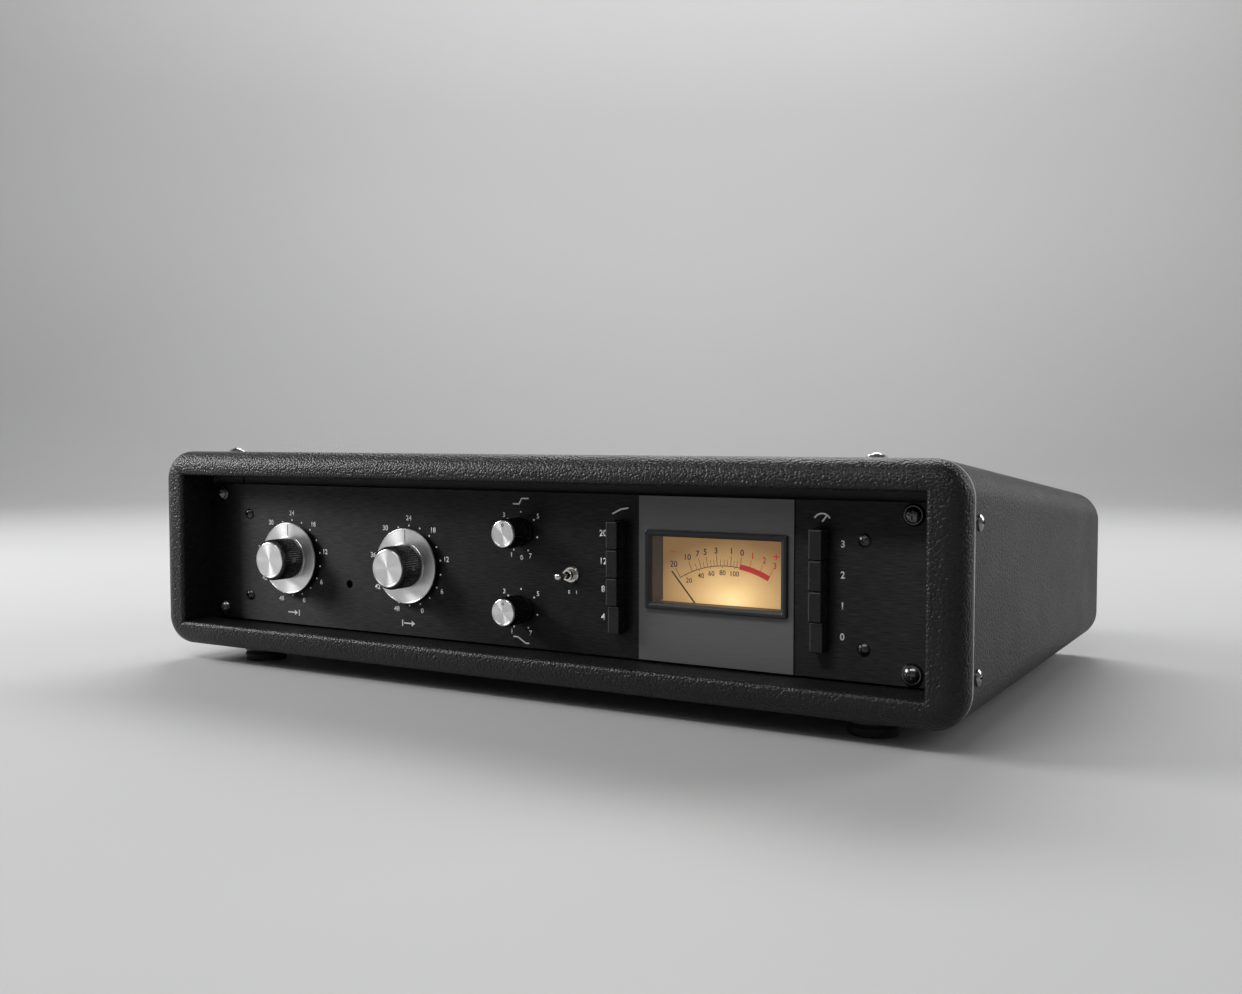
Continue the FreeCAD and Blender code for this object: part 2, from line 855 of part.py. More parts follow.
def outer_sleeve():
    """A closed sheet tube that slopes down to the rear."""
    skin = case_block("sleeve_skin", "sleeve_front", "rear", "0")
    inside = case_block("sleeve_inside", "sleeve_front - overshoot", "rear + overshoot", "sleeve_wall")
    reach = "case_width / 2 - 2 * sleeve_wall"
    holes = drill("sleeve_side_hole", "wood_screw_hole", "3 * sleeve_wall", side_screw_spots(reach))
    holes += drill("sleeve_top_hole", "wood_screw_hole", "3 * sleeve_wall",
                   top_screw_spots("-2 * sleeve_wall"))
    holes += drill("sleeve_foot_hole", "bolt_hole", "3 * sleeve_wall",
                   foot_spots("up", "case_bottom - sleeve_wall / 2"))
    keep(cut("outer_sleeve", cut("sleeve_tube", skin, inside), *holes))


def rubber_feet():
    foot = turned("rubber_foot", [
        ("bolt_hole", "foot_well_depth"),
        ("foot_well_radius", "foot_well_depth"),
        ("foot_well_radius", "0"),
        ("foot_radius - foot_taper", "0"),
        ("foot_radius", "foot_height / 2 - foot_groove"),
        ("foot_radius - foot_groove", "foot_height / 2"),
        ("foot_radius", "foot_height / 2 + foot_groove"),
        ("foot_radius", "foot_height"),
        ("bolt_hole", "foot_height"),
    ])
    copies("rubber_feet", foot, foot_spots("up", "0"))


def support_runners():
    depth = ("cheek_back + runner_front_gap", "unit_back - runner_rear_gap")
    runners = [box(f"support_runner_{side}", around(f"{sign} runner_place", "runner_width / 2"),
                   depth, ("sleeve_floor", "tray_low"))
               for side, sign in (("left", "-"), ("right", ""))]
    group("support_runners", runners)


def rack_rails():
    """Two angles that the panel's ears are bolted to."""
    height = around("opening_mid", "rail_height / 2")
    rails = []
    for side, sign in (("left", "-1"), ("right", "1")):
        flange = box(f"rail_flange_{side}", side_stretch(sign, "rail_flange"),
                     ("panel_back", "rail_back"), height)
        leg = box(f"rail_leg_{side}", side_stretch(sign, "rail_sheet"),
                  ("panel_back", "panel_back + rail_leg"), height)
        rails.append(fuse(f"rail_angle_{side}", flange, leg))
    holes = drill("rail_bolt_hole", "bolt_hole", "3 * rail_sheet",
                  rack_spots("rear", "panel_back - rail_sheet"))
    holes += drill("rail_side_hole", "wood_screw_hole", "3 * rail_sheet",
                   rail_screw_spots("opening_side + rail_sheet"))
    tools = fuse("rail_holes", *holes)
    group("rack_rails", [cut(f"rack_rail_{side}", rail, tools)
                         for side, rail in zip(("left", "right"), rails)])


def side_stretch(sign, width):
    """From the side of the opening inwards, low end first."""
    middle = f"{sign} * (opening_side - ({width}) / 2)"
    return around(middle, f"({width}) / 2")


# ---- front panel ----

def front_panel():
    blank = box("panel_blank", around("0", "panel_width / 2"),
                ("panel_face", "panel_back"), ("panel_low", "panel_high"))
    start = "panel_face - panel_thickness"
    through = "3 * panel_thickness"
    tools = drill("rack_hole", "rack_hole_radius", through, rack_spots("rear", start))
    tools += drill("panel_screw_hole", "socket_screw_hole", through, panel_screw_spots("rear", start))
    for name, x, z, radius in (
            ("input_hole", "input_place", "large_row", "large_bush_radius + hole_clearance"),
            ("output_hole", "output_place", "large_row", "large_bush_radius + hole_clearance"),
            ("attack_hole", "small_dial_place", "attack_row", "small_bush_radius + hole_clearance"),
            ("release_hole", "small_dial_place", "release_row", "small_bush_radius + hole_clearance"),
            ("toggle_hole", "toggle_place", "toggle_row", "toggle_bush_radius + hole_clearance"),
            ("trim_hole", "trim_place", "trim_row", "trim_hole_radius")):
        tools.append(rod(name, "rear", x, start, z, radius, through))
    for name, x in (("ratio_slot", "ratio_place"), ("meter_bank_slot", "meter_bank_place")):
        tools.append(box(name, around(x, "slot_half_width"), (start, "panel_back + overshoot"),
                         around("bank_row", "slot_half_height")))
    tools.append(meter_cutout("panel_meter_cutout"))
    keep(cut("front_panel", blank, *tools))


def meter_cutout(name):
    return box(name, around("meter_place", "cutout_half_width"),
               ("plate_face - overshoot", "panel_back + overshoot"),
               around("meter_row", "cutout_half_height"))


def meter_plate():
    plate = box("plate_blank", ("plate_left", "plate_right"), ("plate_face", "panel_face"),
                ("panel_low + plate_margin", "panel_high - plate_margin"))
    keep(cut("meter_plate", plate, meter_cutout("plate_meter_cutout")))


# ---- chassis ----

def chassis_tray():
    """A folded sheet: floor, two sides, and a flange at each end of each side."""
    height = ("tray_low", "tray_top")
    sheets = [box("tray_floor_sheet", around("0", "tray_side"), ("panel_back", "tray_back"),
                  ("tray_low", "tray_floor"))]
    for side, sign in (("left", "-1"), ("right", "1")):
        wall = around(f"{sign} * (tray_side - tray_sheet / 2)", "tray_sheet / 2")
        flange = around(f"{sign} * (tray_side - tray_flange / 2)", "tray_flange / 2")
        sheets.append(box(f"tray_wall_{side}", wall, ("panel_back", "tray_back"), height))
        sheets.append(box(f"tray_front_flange_{side}", flange,
                          ("panel_back", "panel_back + tray_sheet"), height))
        sheets.append(box(f"tray_rear_flange_{side}", flange,
                          ("tray_back - tray_sheet", "tray_back"), height))
    for count, (x, y) in enumerate(board_screw_places(), start=1):
        sheets.append(rod(f"board_boss_{count}", "up", x, y, "tray_floor", "boss_radius", "boss_height"))
    holes = drill("flange_front_hole", "socket_screw_hole", "3 * tray_sheet",
                  panel_screw_spots("rear", "panel_back - tray_sheet"))
    holes += drill("flange_rear_hole", "socket_screw_hole", "3 * tray_sheet",
                   panel_screw_spots("front", "tray_back + tray_sheet"))
    holes += drill("tray_side_hole", "socket_screw_hole", "3 * tray_sheet",
                   lid_screw_spots("tray_side - 2 * tray_sheet"))
    keep(cut("chassis_tray", fuse("tray_sheets", *sheets), *holes))


def board_screw_places():
    return [(x, y)
            for x in ("board_left + boss_inset", "board_right - boss_inset")
            for y in ("board_front + boss_inset", "board_rear - boss_inset")]


def chassis_lid():
    """A folded cover; its front edge turns up behind the panel and closes the gap above it."""
    depth = ("panel_back + tray_sheet", "tray_back")
    sheets = [box("lid_top", around("0", "lid_side"), depth, ("tray_top", "tray_top + tray_sheet")),
              box("lid_flange", around("0", "lid_side"), (depth[0], f"{depth[0]} + tray_sheet"),
                  ("tray_top", "opening_high - lid_flange_gap"))]
    for side, sign in (("left", "-1"), ("right", "1")):
        lip = around(f"{sign} * (lid_side - tray_sheet / 2)", "tray_sheet / 2")
        sheets.append(box(f"lid_lip_{side}", lip, depth, ("tray_top - lid_lip", "tray_top + tray_sheet")))
    holes = drill("lid_hole", "socket_screw_hole", "3 * tray_sheet",
                  lid_screw_spots("tray_side - tray_sheet"))
    keep(cut("chassis_lid", fuse("lid_sheets", *sheets), *holes))


def rear_panel():
    blank = box("rear_blank", around("0", "tray_side"), ("tray_back", "unit_back"),
                ("tray_low", "tray_top"))
    start = "tray_back - overshoot"
    through = "rear_thickness + 2 * overshoot"
    tools = drill("rear_screw_hole", "socket_screw_hole", through, panel_screw_spots("rear", start))
    barrel = "socket_barrel_radius + hole_clearance"
    for name, x, radius in (
            ("input_cutout", "input_socket_place", barrel),
            ("output_cutout", "output_connector_place", barrel),
            ("fuse_cutout", "fuse_place", "fuse_barrel_radius + hole_clearance")):
        tools.append(rod(name, "rear", x, start, "rear_row", radius, through))
    tools.append(box("latch_cutout", around("input_socket_place", "latch_width / 2 + latch_space"),
                     (start, "unit_back + overshoot"),
                     around("latch_row", "latch_height / 2 + latch_space")))
    tools.append(box("inlet_cutout", around("inlet_place", "inlet_width / 2 + inlet_wall + hole_clearance"),
                     (start, "unit_back + overshoot"),
                     around("rear_row", "inlet_height / 2 + inlet_wall + hole_clearance")))
    keep(cut("rear_panel", blank, *tools))


def main_board():
    board = box("main_board", ("board_left", "board_right"), ("board_front", "board_rear"),
                ("board_low", "board_top"))
    keep(board)


def board_parts():
    """Rows of cans and chips, spaced evenly from the board's left end."""
    parts = []
    for count in range(RESERVOIR_CANS):
        parts.append(rod(f"reservoir_can_{count}", "up", row_place(count), "board_rear - can_inset",
                         "board_top", "can_radius", "can_height"))
    for count in range(COUPLING_CANS):
        parts.append(rod(f"coupling_can_{count}", "up", row_place(count), "board_front + can_inset",
                         "board_top", "small_can_radius", "small_can_height"))
    for count in range(AMPLIFIER_CHIPS):
        parts.append(box(f"amplifier_chip_{count}", around(row_place(count), "chip_length / 2"),
                         around("(board_rear + board_front) / 2", "chip_width / 2"),
                         ("board_top", "board_top + chip_height")))
    group("board_parts", parts)


def row_place(count):
    pitch = f"(board_right - board_left - 2 * can_inset) / {COUPLING_CANS - 1}"
    return f"board_left + can_inset + {count} * {pitch}"


def mains_transformer():
    """A laminated core with its coil through it, on a folded foot."""
    y = "tray_back - mains_rear_gap"
    middle = "tray_floor + mains_foot_sheet + mains_core_height / 2"
    core = box("mains_core", around("mains_place", "mains_core_width / 2"),
               around(y, "mains_core_depth / 2"), around(middle, "mains_core_height / 2"))
    coil = box("mains_coil", around("mains_place", "mains_coil_width / 2"),
               around(y, "mains_coil_depth / 2"),
               around(middle, "mains_core_height / 2 - mains_coil_margin"))
    foot = box("mains_foot", around("mains_place", "mains_foot_width / 2"),
               around(y, "mains_core_depth / 2"),
               ("tray_floor", "tray_floor + mains_foot_sheet"))
    keep(fuse("mains_transformer", core, coil, foot))


def audio_transformers():
    cans = []
    for count, y in enumerate(("-audio_spread", "audio_spread"), start=1):
        can = padded(f"audio_can_{count}", "XY_Plane",
                     rectangle(around("audio_place", "audio_width / 2"), around(y, "audio_width / 2")),
                     "audio_height")
        round_edges(can, "audio_round", lambda start, end: (end - start).Length == abs((end - start).z))
        aim(can, "up", "0", "0", "tray_floor + audio_height / 2")
        cans.append(can)
    group("audio_transformers", cans)


# ---- rear connectors ----

def signal_flange(name, place):
    return box(name, around(place, "socket_flange_width / 2"), ("unit_back", "flange_back"),
               around("rear_row", "socket_flange_height / 2"))


def pin_places(place):
    """Three pins on a circle, as (x, z)."""
    return [(f"{place} + socket_pin_circle * {across}", f"rear_row + socket_pin_circle * {up}")
            for across, up in (("1", "0"), ("-1", "0"), ("0", "-1"))]


def output_connector():
    """A round well in a flanged barrel, with three pins in it."""
    place = "output_connector_place"
    flange = signal_flange("output_flange", place)
    barrel = rod("output_barrel", "front", place, "flange_back", "rear_row",
                 "socket_barrel_radius", "socket_barrel_depth")
    well = rod("output_well", "front", place, "flange_back", "rear_row",
               "socket_shell_radius", "socket_well_depth")
    shell = cut("output_shell", fuse("output_blank", flange, barrel), well)
    floor = "flange_back - socket_well_depth"
    pins = [rod(f"output_pin_{count}", "rear", x, f"{floor} - overshoot", z, "socket_pin_radius",
                "socket_pin_length + overshoot")
            for count, (x, z) in enumerate(pin_places(place), start=1)]
    keep(fuse("output_connector", shell, *pins))


def input_socket():
    """A core with three bores inside a round shell, and a slot for the latch."""
    place = "input_socket_place"
    flange = signal_flange("input_flange", place)
    barrel = rod("input_barrel", "front", place, "flange_back", "rear_row",
                 "socket_barrel_radius", "socket_barrel_depth")
    well = rod("input_well", "front", place, "flange_back", "rear_row",
               "socket_shell_radius", "socket_well_depth")
    core = rod("input_core", "front", place, "flange_back", "rear_row",
               "socket_core_radius", "socket_barrel_depth")
    bores = [rod(f"input_bore_{count}", "front", x, "flange_back", z,
                 "socket_pin_radius + hole_clearance", "socket_pin_length")
             for count, (x, z) in enumerate(pin_places(place), start=1)]
    slot = box("latch_slot", around(place, "latch_width / 2 + slide_clearance"),
               ("unit_back - overshoot", "flange_back + overshoot"),
               around("latch_row", "latch_height / 2 + slide_clearance"))
    shell = cut("input_shell", fuse("input_blank", flange, barrel), well)
    keep(cut("input_socket", fuse("input_filled", shell, core), slot, *bores))


def socket_latch():
    latch = box("socket_latch", around("input_socket_place", "latch_width / 2"),
                ("flange_back + latch_proud - latch_length", "flange_back + latch_proud"),
                around("latch_row", "latch_height / 2"))
    keep(latch)


def mains_inlet():
    """A flanged well with three flat blades."""
    flange = box("inlet_flange", around("inlet_place", "inlet_flange_width / 2"),
                 ("unit_back", "flange_back"), around("rear_row", "inlet_flange_height / 2"))
    floor = "flange_back - inlet_depth"
    shell = box("inlet_shell", around("inlet_place", "inlet_width / 2 + inlet_wall"),
                (f"{floor} - inlet_wall", "flange_back"),
                around("rear_row", "inlet_height / 2 + inlet_wall"))
    well = box("inlet_well", around("inlet_place", "inlet_width / 2"),
               (floor, "flange_back + overshoot"), around("rear_row", "inlet_height / 2"))
    body = cut("inlet_body", fuse("inlet_blank", flange, shell), well)
    blades = []
    for count, (across, up) in enumerate((("-1", "-1"), ("0", "1"), ("1", "-1")), start=1):
        blades.append(box(f"inlet_blade_{count}",
                          around(f"inlet_place + {across} * blade_pitch", "blade_thickness / 2"),
                          (f"{floor} - inlet_wall / 2", f"{floor} + blade_length"),
                          around(f"rear_row + {up} * blade_drop", "blade_height / 2")))
    keep(fuse("mains_inlet", body, *blades))


def fuse_holder():
    holder = turned("fuse_holder", [
        ("0", "-fuse_barrel_depth"),
        ("fuse_barrel_radius", "-fuse_barrel_depth"),
        ("fuse_barrel_radius", "0"),
        ("fuse_flange_radius", "0"),
        ("fuse_flange_radius", "flange_thickness"),
        ("fuse_stem_radius + running_clearance", "flange_thickness"),
        ("fuse_stem_radius + running_clearance", "-fuse_stem_length"),
        ("0", "-fuse_stem_length"),
    ])
    keep(aim(holder, "rear", "fuse_place", "unit_back", "rear_row"))
    blank = turned("fuse_cap_blank", [
        ("0", "shaft_end_gap - fuse_stem_length - flange_thickness"),
        ("fuse_stem_radius", "shaft_end_gap - fuse_stem_length - flange_thickness"),
        ("fuse_stem_radius", "hole_clearance"),
        ("fuse_cap_radius", "hole_clearance"),
        ("fuse_cap_radius", "fuse_cap_height - cap_bevel"),
        ("fuse_cap_radius - cap_bevel", "fuse_cap_height"),
        ("0", "fuse_cap_height"),
    ])
    slot = box("fuse_cap_slot", around("0", "fuse_cap_radius"), around("0", "fuse_slot_width / 2"),
               ("fuse_cap_height - fuse_slot_depth", "fuse_cap_height + overshoot"))
    keep(aim(cut("fuse_cap", blank, slot), "rear", "fuse_place", "flange_back", "rear_row"))


# ---- dials ----

def potentiometer(name, x, row, size):
    """A can behind the panel with a bush through it; height is zero at the panel's back."""
    bore = f"{size}_shaft_radius + running_clearance"
    pot = turned(name, [
        ("0", f"-{size}_pot_depth"),
        (f"{size}_pot_radius", f"-{size}_pot_depth"),
        (f"{size}_pot_radius", "0"),
        (f"{size}_bush_radius", "0"),
        (f"{size}_bush_radius", f"panel_thickness + {size}_bush_proud"),
        (bore, f"panel_thickness + {size}_bush_proud"),
        (bore, f"pot_wall - {size}_pot_depth"),
        ("0", f"pot_wall - {size}_pot_depth"),
    ])
    return aim(pot, "front", x, "panel_back", row)


def trimmer():
    trim = turned("trimmer", [
        ("0", "-trim_body_depth"),
        ("trim_body_radius", "-trim_body_depth"),
        ("trim_body_radius", "0"),
        ("trim_hole_radius", "0"),
        ("trim_hole_radius", "-trim_well_depth"),
        ("trim_screw_radius + running_clearance", "-trim_well_depth"),
        ("trim_screw_radius + running_clearance", "-trim_bore_depth - shaft_end_gap"),
        ("0", "-trim_bore_depth - shaft_end_gap"),
    ])
    blank = turned("trim_screw_blank", [
        ("0", "0"),
        ("trim_screw_radius", "0"),
        ("trim_screw_radius", "trim_screw_length"),
        ("0", "trim_screw_length"),
    ])
    slot = box("trim_slot", around("0", "trim_screw_radius"), around("0", "trim_slot_width / 2"),
               ("trim_screw_length - trim_slot_depth", "trim_screw_length + overshoot"))
    aim(trim, "front", "trim_place", "panel_back", "trim_row")
    keep(aim(cut("trim_screw", blank, slot), "front", "trim_place",
             "panel_back + trim_bore_depth", "trim_row"))
    return trim


DIALS = (
    ("input", "input_place", "large_row", "large"),
    ("output", "output_place", "large_row", "large"),
    ("attack", "small_dial_place", "attack_row", "small"),
    ("release", "small_dial_place", "release_row", "small"),
)


def dials():
    pots = []
    nuts = []
    for name, x, row, size in DIALS:
        pots.append(potentiometer(f"{name}_pot", x, row, size))
        nut = hex_nut(f"{name}_nut", f"{size}_nut_radius", "bush_nut_height",
                      f"{size}_bush_radius + hole_clearance")
        nuts.append(aim(nut, "front", x, "panel_face", row))
        behind = f"{size}_pot_depth - pot_wall - shaft_end_gap"
        keep(rod(f"{name}_shaft", "front", x, f"panel_back + {behind}", row, f"{size}_shaft_radius",
                 f"{behind} + panel_thickness + {size}_knob_well - shaft_end_gap"))
        build = large_knob if size == "large" else small_knob
        for piece in build(name):
            keep(aim(piece, "front", x, "panel_face", row))
    pots.append(trimmer())
    nut = turned("toggle_nut", [
        ("toggle_bush_radius + hole_clearance", "0"),
        ("toggle_nut_radius", "0"),
        ("toggle_nut_radius", "toggle_nut_height - toggle_nut_bevel"),
        ("toggle_nut_radius - toggle_nut_bevel", "toggle_nut_height"),
        ("toggle_bush_radius + hole_clearance", "toggle_nut_height"),
    ])
    nuts.append(aim(nut, "front", "toggle_place", "panel_face", "toggle_row"))
    group("potentiometers", pots)
    group("bushing_nuts", nuts)


def large_knob(name):
    """Skirt, grip and cap, with heights above the panel's face."""
    bore = "large_shaft_radius + grip_clearance"
    skirt = turned(f"{name}_skirt", [
        (bore, "skirt_proud - skirt_web"),
        ("skirt_well_radius", "skirt_proud - skirt_web"),
        ("skirt_well_radius", "skirt_proud - skirt_thickness"),
        ("skirt_radius", "skirt_proud - skirt_thickness"),
        ("skirt_radius", "skirt_proud - skirt_bevel"),
        ("skirt_radius - skirt_bevel", "skirt_proud"),
        (bore, "skirt_proud"),
    ])
    grip = turned(f"{name}_knob", [
        (bore, "skirt_proud"),
        ("large_knob_radius", "skirt_proud"),
        ("large_knob_radius", "large_knob_proud - knob_bevel"),
        ("large_knob_radius - knob_bevel", "large_knob_proud"),
        ("large_cap_radius + grip_clearance", "large_knob_proud"),
        ("large_cap_radius + grip_clearance", "large_cap_proud - cap_inset"),
        ("0", "large_cap_proud - cap_inset"),
        ("0", "large_knob_well"),
        (bore, "large_knob_well"),
    ])
    return skirt, grip, knob_cap(name, "large")


def small_knob(name):
    bore = "small_shaft_radius + grip_clearance"
    grip = turned(f"{name}_knob", [
        (bore, "small_knob_lift + small_well_depth"),
        ("small_well_radius", "small_knob_lift + small_well_depth"),
        ("small_well_radius", "small_knob_lift"),
        ("small_knob_radius", "small_knob_lift"),
        ("small_knob_radius", "small_knob_proud - cap_bevel"),
        ("small_knob_radius - cap_bevel", "small_knob_proud"),
        ("small_cap_radius + grip_clearance", "small_knob_proud"),
        ("small_cap_radius + grip_clearance", "small_cap_proud - cap_inset"),
        ("0", "small_cap_proud - cap_inset"),
        ("0", "small_knob_well"),
        (bore, "small_knob_well"),
    ])
    return grip, knob_cap(name, "small")


def knob_cap(name, size):
    low = f"{size}_cap_proud - cap_inset"
    return turned(f"{name}_cap", [
        ("0", low),
        (f"{size}_cap_radius", low),
        (f"{size}_cap_radius", f"{size}_cap_proud - cap_bevel"),
        (f"{size}_cap_radius - cap_bevel", f"{size}_cap_proud"),
        ("0", f"{size}_cap_proud"),
    ])


# ---- toggle switch ----

def toggle():
    block = box("toggle_block", around("toggle_place", "toggle_width / 2"),
                ("panel_back", "panel_back + toggle_depth"), around("toggle_row", "toggle_height / 2"))
    bush = rod("toggle_bush", "rear", "toggle_place", "toggle_mouth", "toggle_row",
               "toggle_bush_radius", "toggle_bush_proud + panel_thickness + overshoot")
    bore = rod("toggle_bore", "rear", "toggle_place", "toggle_mouth - overshoot", "toggle_row",
               "lever_ball_radius + running_clearance",
               "lever_pivot_depth + lever_ball_radius + running_clearance + overshoot")
    keep(cut("toggle_body", fuse("toggle_blank", block, bush), bore))
    waist = "sqrt(lever_ball_radius^2 - lever_neck_radius^2)"
    lever = turned("toggle_lever", [
        ("0", "-lever_ball_radius"),
        ("lever_neck_radius", waist, "lever_ball_radius"),
        ("lever_neck_radius", "lever_neck_length"),
        ("lever_tip_radius", "lever_length - lever_tip_rise"),
        ("0", "lever_length", dome("lever_tip_radius", "lever_tip_rise")),
    ])
    keep(aim(lever, "front", "toggle_place", "lever_pivot", "toggle_row"))


# ---- push buttons ----

BANKS = (("ratio", "ratio_place"), ("meter", "meter_bank_place"))


def button_rows():
    """The height of each button of a bank and how far it is latched in, from the top."""
    for count in range(1, BUTTONS_IN_BANK + 1):
        row = f"bank_row + {(BUTTONS_IN_BANK + 1) / 2 - count} * button_pitch"
        latched = "button_latch" if count == BUTTONS_IN_BANK else "0"
        yield count, row, latched


def switch_frames():
    frames = []
    for bank, x in BANKS:
        blank = box(f"{bank}_switch_blank", around(x, "slot_half_width + switch_cheek"),
                    ("panel_back", "panel_back + switch_depth"),
                    around("bank_row", "slot_half_height + switch_wall"))
        well = box(f"{bank}_switch_well", around(x, "slot_half_width"),
                   ("panel_back - overshoot", "panel_face + switch_well"),
                   around("bank_row", "slot_half_height"))
        channels = [box(f"{bank}_channel_{count}", around(x, "stem_width / 2 + slide_clearance"),
                        ("panel_back", "panel_back + switch_depth + overshoot"),
                        around(row, "stem_height / 2 + slide_clearance"))
                    for count, row, _ in button_rows()]
        frames.append(cut(f"{bank}_switch_frame", blank, well, *channels))
    group("switch_frames", frames)


def push_buttons():
    for bank, x in BANKS:
        for count, row, latched in button_rows():
            name = f"{bank}_button_{count}"
            base = f"panel_face + button_behind + {latched}"
            length = "button_proud + button_behind"
            cap = padded(f"{name}_cap", "XZ_Plane",
                         rectangle(around("0", "button_width / 2"), around("0", "button_height / 2")),
                         length)
            round_edges(cap, "button_round", lies_at_y(-number(length) / 2))
            aim(cap, "up", x, f"{base} - ({length}) / 2", row)
            stem = box(f"{name}_stem", around(x, "stem_width / 2"), (base, f"{base} + stem_length"),
                       around(row, "stem_height / 2"))
            keep(fuse(name, cap, stem))


# ---- meter ----

def meter_bezel():
    """A lipped frame on the plate, with a tube through the panel that holds the glass."""
    frame = padded("bezel_frame", "XZ_Plane",
                   rectangle(around("0", "bezel_width / 2"), around("0", "bezel_height / 2")),
                   "bezel_proud")
    round_edges(frame, "bezel_round", lies_at_y(-number("bezel_proud") / 2))
    aim(frame, "up", "meter_place", "plate_face - bezel_proud / 2", "meter_row")
    tube = meter_box("bezel_tube", "tube_grow", ("plate_face - bezel_proud / 2", "panel_back"))
    seat = meter_box("bezel_seat", "glass_overlap",
                     ("plate_face - bezel_proud + bezel_front", "panel_back + overshoot"))
    window = meter_box("bezel_window", "0",
                       ("plate_face - bezel_proud - overshoot", "panel_back + overshoot"))
    keep(cut("meter_bezel", fuse("bezel_blank", frame, tube), seat, window))


def meter_box(name, grow, depth):
    """A block round the meter's window, grown evenly past its edge."""
    return box(name, around("meter_place", f"window_half_width + ({grow})"), depth,
               around("meter_row", f"window_half_height + ({grow})"))


def meter_glass():
    front = "plate_face - bezel_proud + bezel_front"
    keep(meter_box("meter_glass", "glass_overlap - glass_clearance",
                   (front, f"{front} + glass_thickness")))


def meter_housing():
    shell = box("housing_shell", around("meter_place", "housing_side"),
                ("panel_back", "housing_back"), ("housing_low", "housing_high"))
    hollow = box("housing_hollow", around("meter_place", "housing_inside"),
                 ("panel_back - overshoot", "housing_back - housing_wall"),
                 ("housing_low + housing_wall", "housing_high - housing_wall"))
    keep(cut("meter_housing", shell, hollow))


def meter_dial():
    keep(box("meter_dial", around("meter_place", "housing_inside - hole_clearance"),
             ("dial_face", "dial_back"),
             ("panel_mid - dial_bottom", "housing_high - housing_wall - hole_clearance")))


def meter_needle():
    """A pointer and its tail on a hub, built upright on the pivot and then leaned over."""
    pointer = box("needle_pointer", around("0", "needle_width / 2"), ("0", "needle_thickness"),
                  ("-needle_tail", "needle_length"))
    hub = rod("needle_hub", "rear", "0", "needle_thickness - hub_height", "0",
              "hub_radius", "hub_height")
    spindle = rod("needle_spindle", "rear", "0", "0", "0", "spindle_radius", "spindle_length")
    needle = fuse("meter_needle", pointer, hub, spindle)
    lean = FreeCAD.Rotation(FreeCAD.Vector(0, -1, 0), number("needle_rest"))
    needle.Placement = FreeCAD.Placement(FreeCAD.Vector(), lean)
    needle.setExpression("Placement.Rotation.Angle", formula("needle_rest"))
    for letter, text in zip("xyz", ("pivot_place", "needle_face", "pivot_row")):
        needle.setExpression(f"Placement.Base.{letter}", formula(text))
    keep(needle)


def meter_movement():
    front = "needle_face + needle_thickness + movement_gap"
    block = box("movement_block", around("pivot_place", "movement_width / 2"),
                (front, "housing_back - housing_wall"), around("pivot_row", "movement_height / 2"))
    bore = rod("movement_bore", "rear", "pivot_place", f"{front} - overshoot", "pivot_row",
               "spindle_radius + running_clearance", "spindle_length + overshoot")
    keep(cut("meter_movement", block, bore))


def meter_lamp():
    lamp = turned("meter_lamp", [
        ("0", "0"),
        ("lamp_radius", "0"),
        ("lamp_radius", "lamp_base"),
        ("lamp_radius * 0.8", "lamp_base"),
        ("lamp_radius * 0.8", "lamp_length - lamp_radius * 0.8"),
        ("0", "lamp_length", "lamp_radius * 0.8"),
    ])
    keep(aim(lamp, "front", "pivot_place", "housing_back - housing_wall", "panel_mid - lamp_drop"))


# ---- the whole ----

def check_and_write():
    doc.recompute()
    faults = [thing.Label for thing in doc.Objects
              if {"Invalid", "Error"} & set(thing.State)]
    faults += [part.Label for part in sub_parts
               if part.Shape.isNull() or not part.Shape.isValid() or not part.Shape.Solids]
    if faults:
        raise RuntimeError(f"these did not build: {faults}")
    os.makedirs("parts", exist_ok=True)
    for part in sub_parts:
        part.Shape.exportStep(f"parts/{part.Label}.step")
    print(f"{len(sub_parts)} sub-parts written")


def main():
    fill_sheet()
    for build in (
            front_frame, outer_sleeve, rubber_feet, support_runners, rack_rails, fasteners,
            front_panel, meter_plate, chassis_tray, chassis_lid, rear_panel, main_board,
            board_parts, mains_transformer, audio_transformers, output_connector, input_socket,
            socket_latch, mains_inlet, fuse_holder, dials, toggle, switch_frames, push_buttons,
            meter_bezel, meter_glass, meter_housing, meter_dial, meter_needle, meter_movement,
            meter_lamp):
        build()
    check_and_write()


main()
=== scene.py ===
"""Looks of a rack compressor in a rounded desktop case: finishes, knurls, prints, meter and light."""

import json
import math

import bmesh
import bpy
from mathutils import Matrix, Vector

